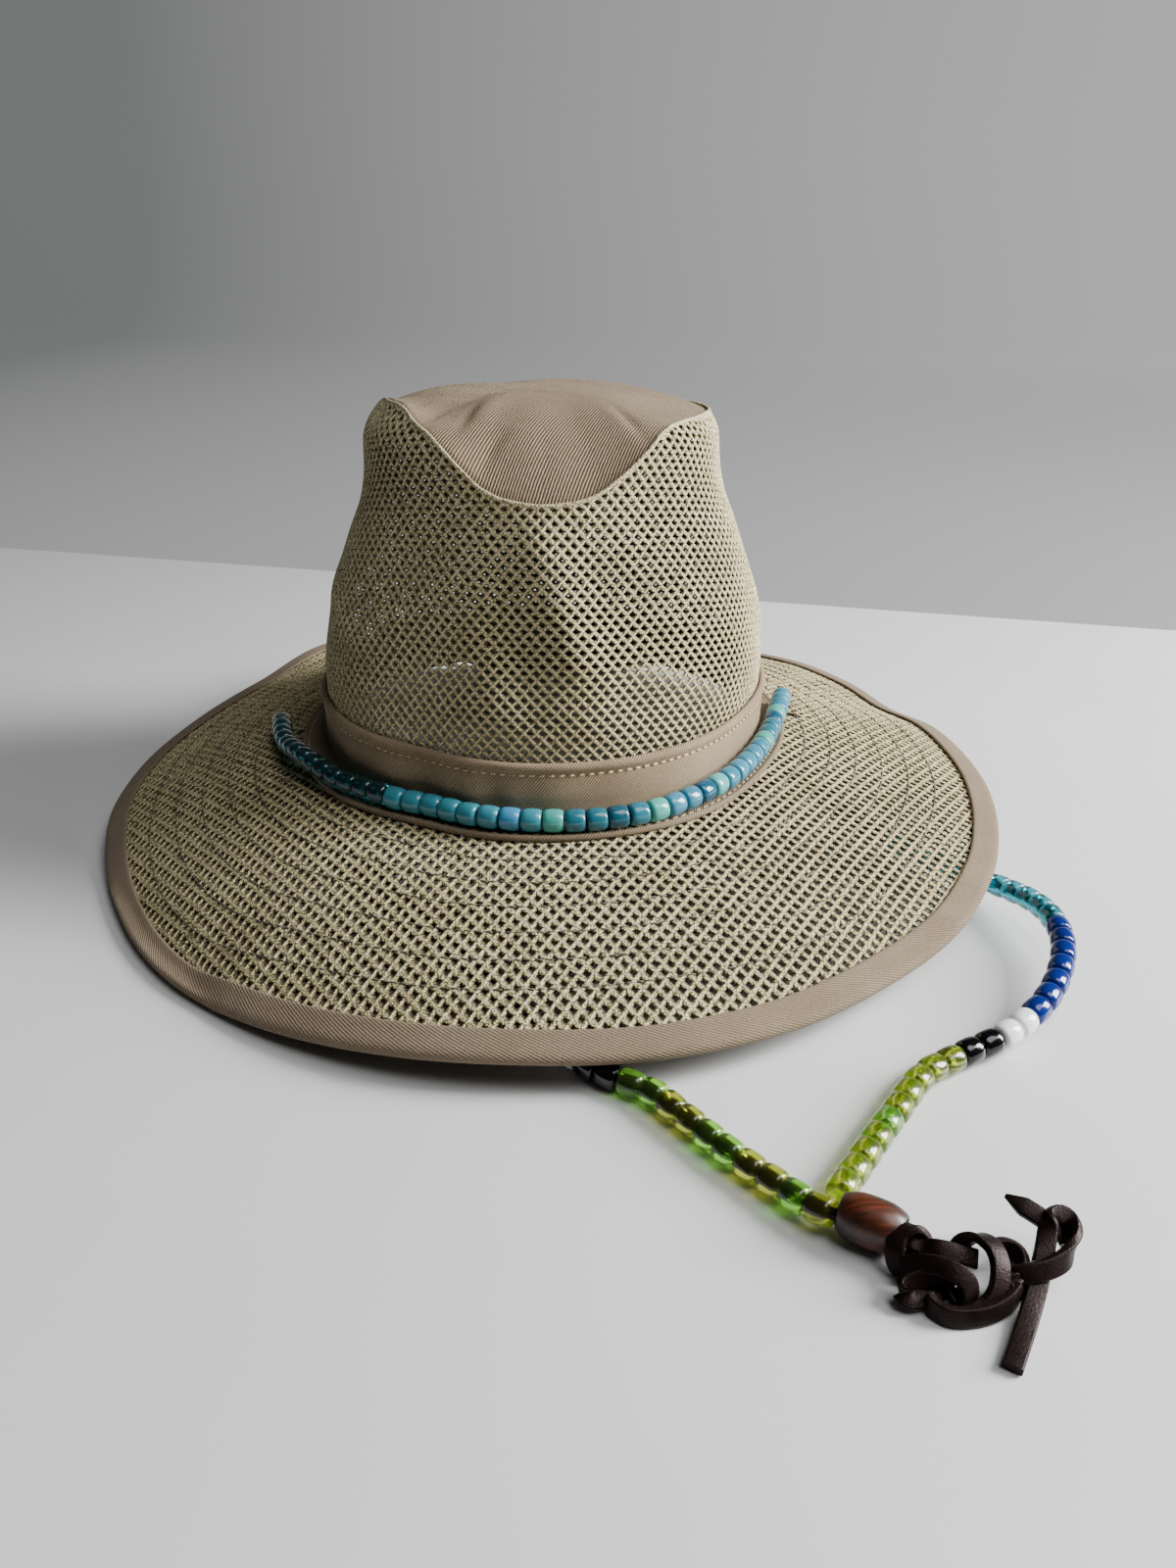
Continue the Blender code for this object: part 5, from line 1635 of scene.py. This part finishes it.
# %% Strokes of the knot
LACE_WIDE = 0.0048
LACE_THICK = 0.0023
LACE_CORNER = 0.00055
LACES_IN_BORE = {"neck": -1, "shoulder": 1}
KNOT_STROKES = {
    "neck": [
        (96.4, -263.6, 6.0, 0.5, 0.8, 0.2), (99.3, -265.8, 6.0, 0.3, 0.8, 0.5),
        (103.0, -267.1, 6.0, 0.1, 0.8, 0.6), (105.8, -267.0, 5.0)],
    "shoulder": [
        (96.3, -261.6, 8.0, 0.5, 0.8, 0.2), (99.6, -263.6, 7.6, 0.3, 0.8, 0.5),
        (102.8, -265.3, 8.6, 0.1, 0.8, 0.6), (107.1, -266.0, 8.0, 0.0, 0.8, 0.6),
        (111.8, -266.3, 6.5)],
    "collar": [
        (100.5, -261.7, 4.5, 0.85, -0.5, 0.15), (99.9, -260.9, 8.0), (97.4, -260.4, 10.2),
        (94.5, -261.1, 9.8), (92.9, -263.2, 7.8), (92.9, -264.7, 4.8), (94.2, -265.9, 2.6),
        (97.2, -266.4, 1.6)],
    "cross": [
        (94.0, -267.9, 5.5, -0.1, 0.75, 0.65), (97.5, -269.2, 8.0),
        (100.9, -270.8, 9.2, 0.0, 0.75, 0.65), (104.4, -272.7, 9.2, 0.2, 0.75, 0.6),
        (107.1, -274.3, 7.8, 0.5, 0.65, 0.55), (107.6, -275.4, 5.0, 0.8, 0.45, 0.4),
        (106.3, -275.9, 2.8, 0.9, 0.3, 0.3)],
    "turn": [
        (105.2, -271.5, 5.2, 0.0, 0.45, 0.9), (100.2, -271.3, 5.8),
        (96.3, -271.3, 5.2, 0.0, 0.5, 0.85), (93.3, -272.5, 4.2, 0.3, 0.6, 0.7),
        (92.8, -274.4, 3.2, 0.5, 0.7, 0.4), (95.0, -274.9, 2.4, 0.4, 0.9, 0.3),
        (99.1, -273.3, 2.4, 0.3, 0.9, 0.3), (103.7, -271.0, 2.4)],
    "ring": [
        (107.1, -265.0, 6.5, 0.93, 0.25, -0.25), (108.9, -263.4, 9.0), (112.2, -263.5, 10.6),
        (115.1, -265.7, 10.6), (116.1, -269.1, 9.4), (115.6, -272.5, 7.4), (114.1, -275.2, 5.0),
        (111.5, -276.5, 3.0), (108.1, -276.6, 2.2), (105.7, -275.1, 2.6), (104.5, -273.0, 4.2)],
    "lower_arc": [
        (98.2, -274.8, 3.4, 0.0, 0.25, 0.97), (99.3, -277.3, 2.8), (102.3, -279.5, 2.6),
        (107.1, -279.7, 2.6), (112.3, -278.6, 2.8), (116.9, -276.4, 3.6), (120.2, -273.4, 4.6)],
    "back_loop": [
        (117.0, -262.3, 6.0, 0.3, 0.3, 0.9), (120.3, -262.1, 6.0),
        (122.6, -263.7, 5.6, 0.4, 0.3, 0.85), (122.7, -267.0, 5.0, 0.5, 0.3, 0.8),
        (121.0, -270.9, 4.6), (117.9, -273.9, 4.2)],
    "mass": [
        (116.4, -272.4, 4.0, 0.0, 0.5, 0.85), (119.3, -272.1, 5.4), (122.6, -271.7, 4.6),
        (124.5, -272.8, 3.0, 0.2, 0.6, 0.7)],
    "loop": [
        (118.3, -270.4, 5.0, -0.1, 0.6, 0.8), (120.5, -271.2, 6.5), (123.6, -271.2, 7.4),
        (127.8, -270.5, 8.0, 0.0, 0.6, 0.8), (131.8, -268.5, 8.6, 0.2, 0.6, 0.75),
        (134.7, -265.2, 9.2, 0.45, 0.5, 0.7), (136.4, -261.5, 10.2, 0.6, 0.45, 0.65),
        (136.4, -258.4, 11.2, 0.4, 0.7, 0.6), (134.4, -257.4, 12.0, 0.2, 0.8, 0.55),
        (131.9, -258.6, 11.6, 0.6, 0.5, 0.5), (130.2, -261.5, 10.4, 0.9, 0.25, 0.35),
        (128.4, -265.3, 8.6, 0.95, 0.25, 0.2), (126.6, -269.0, 6.2, 1.0, 0.25, 0.1),
        (124.4, -273.2, 4.4, 1.0, 0.25, 0.05), (121.7, -277.9, 2.8, 1.0, 0.25, 0.0),
        (117.7, -284.6, 1.8), (112.7, -292.6, 1.4)],
    "upper_tail": [
        (122.8, -251.3, 12.4, 0.45, 0.75, 0.5), (125.5, -253.5, 11.8), (128.8, -255.7, 10.8),
        (131.8, -257.5, 9.6), (134.7, -259.3, 8.4), (135.8, -261.9, 7.4, 0.6, 0.6, 0.5)],
}


def rounded_box(half_width, half_height, corner, steps=3):
    """Outline of a strip with rounded edges."""
    points = []
    for x, y, start in ((1, 1, 0), (-1, 1, 90), (-1, -1, 180), (1, -1, 270)):
        for step in range(steps + 1):
            turn = math.radians(start + 90 * step / steps)
            points.append((x * (half_width - corner) + corner * math.cos(turn),
                           y * (half_height - corner) + corner * math.sin(turn)))
    return points


def stroke_line(rows):
    """Middle of a stroke of lace and the ways its flat side is wide, at even spacing."""
    points = np.array([row[:3] for row in rows]) * MM
    ways = []
    for row in rows:
        ways.append(row[3:] or ways[-1])
    line = smooth_line(points, 0.0008)
    gone = running(step_lengths(points))
    places = np.linspace(0.0, gone[-1], len(line))
    wide = [np.interp(places, gone, column) for column in zip(*ways)]
    return line, unit(np.stack(wide, axis=1))


def make_knot():
    """All strokes as one mesh; the laces from the bore are thin at first, and one tail is pointed."""
    begin = (SLIDE_PLACE + SLIDE_AXIS * (SLIDE_LENGTH + GAP) / 2) / MM
    mouth = (SLIDE_PLACE + SLIDE_AXIS * (SLIDE_LENGTH + 0.6 * LACE_DIAMETER)) / MM
    outline = rounded_box(LACE_WIDE / 2, LACE_THICK / 2, LACE_CORNER)
    bodies = []
    for name, rows in KNOT_STROKES.items():
        if name in LACES_IN_BORE:
            aside = lace_aside(LACES_IN_BORE[name]) / MM
            rows = [(*(begin + aside), 0.2, 0.4, 0.9), (*(mouth + aside), 0.3, 0.6, 0.7)] + rows
        line, wide = stroke_line(rows)
        gone = np.linalg.norm(line - line[0], axis=1)
        width = np.ones(len(line))
        if name in LACES_IN_BORE:
            width = 0.72 + 0.28 * np.clip((gone - 0.011) / 0.006, 0.0, 1.0)
        if name == "upper_tail":
            width = np.clip(0.22 + gone / 0.0060, 0.0, 1.0)
        bodies.append(swept(line, outline, wide, width))
    link_piece("lace_knot_tied", joined_mesh("lace_knot_tied", bodies), "lace_knot", LEATHER)


make_knot()
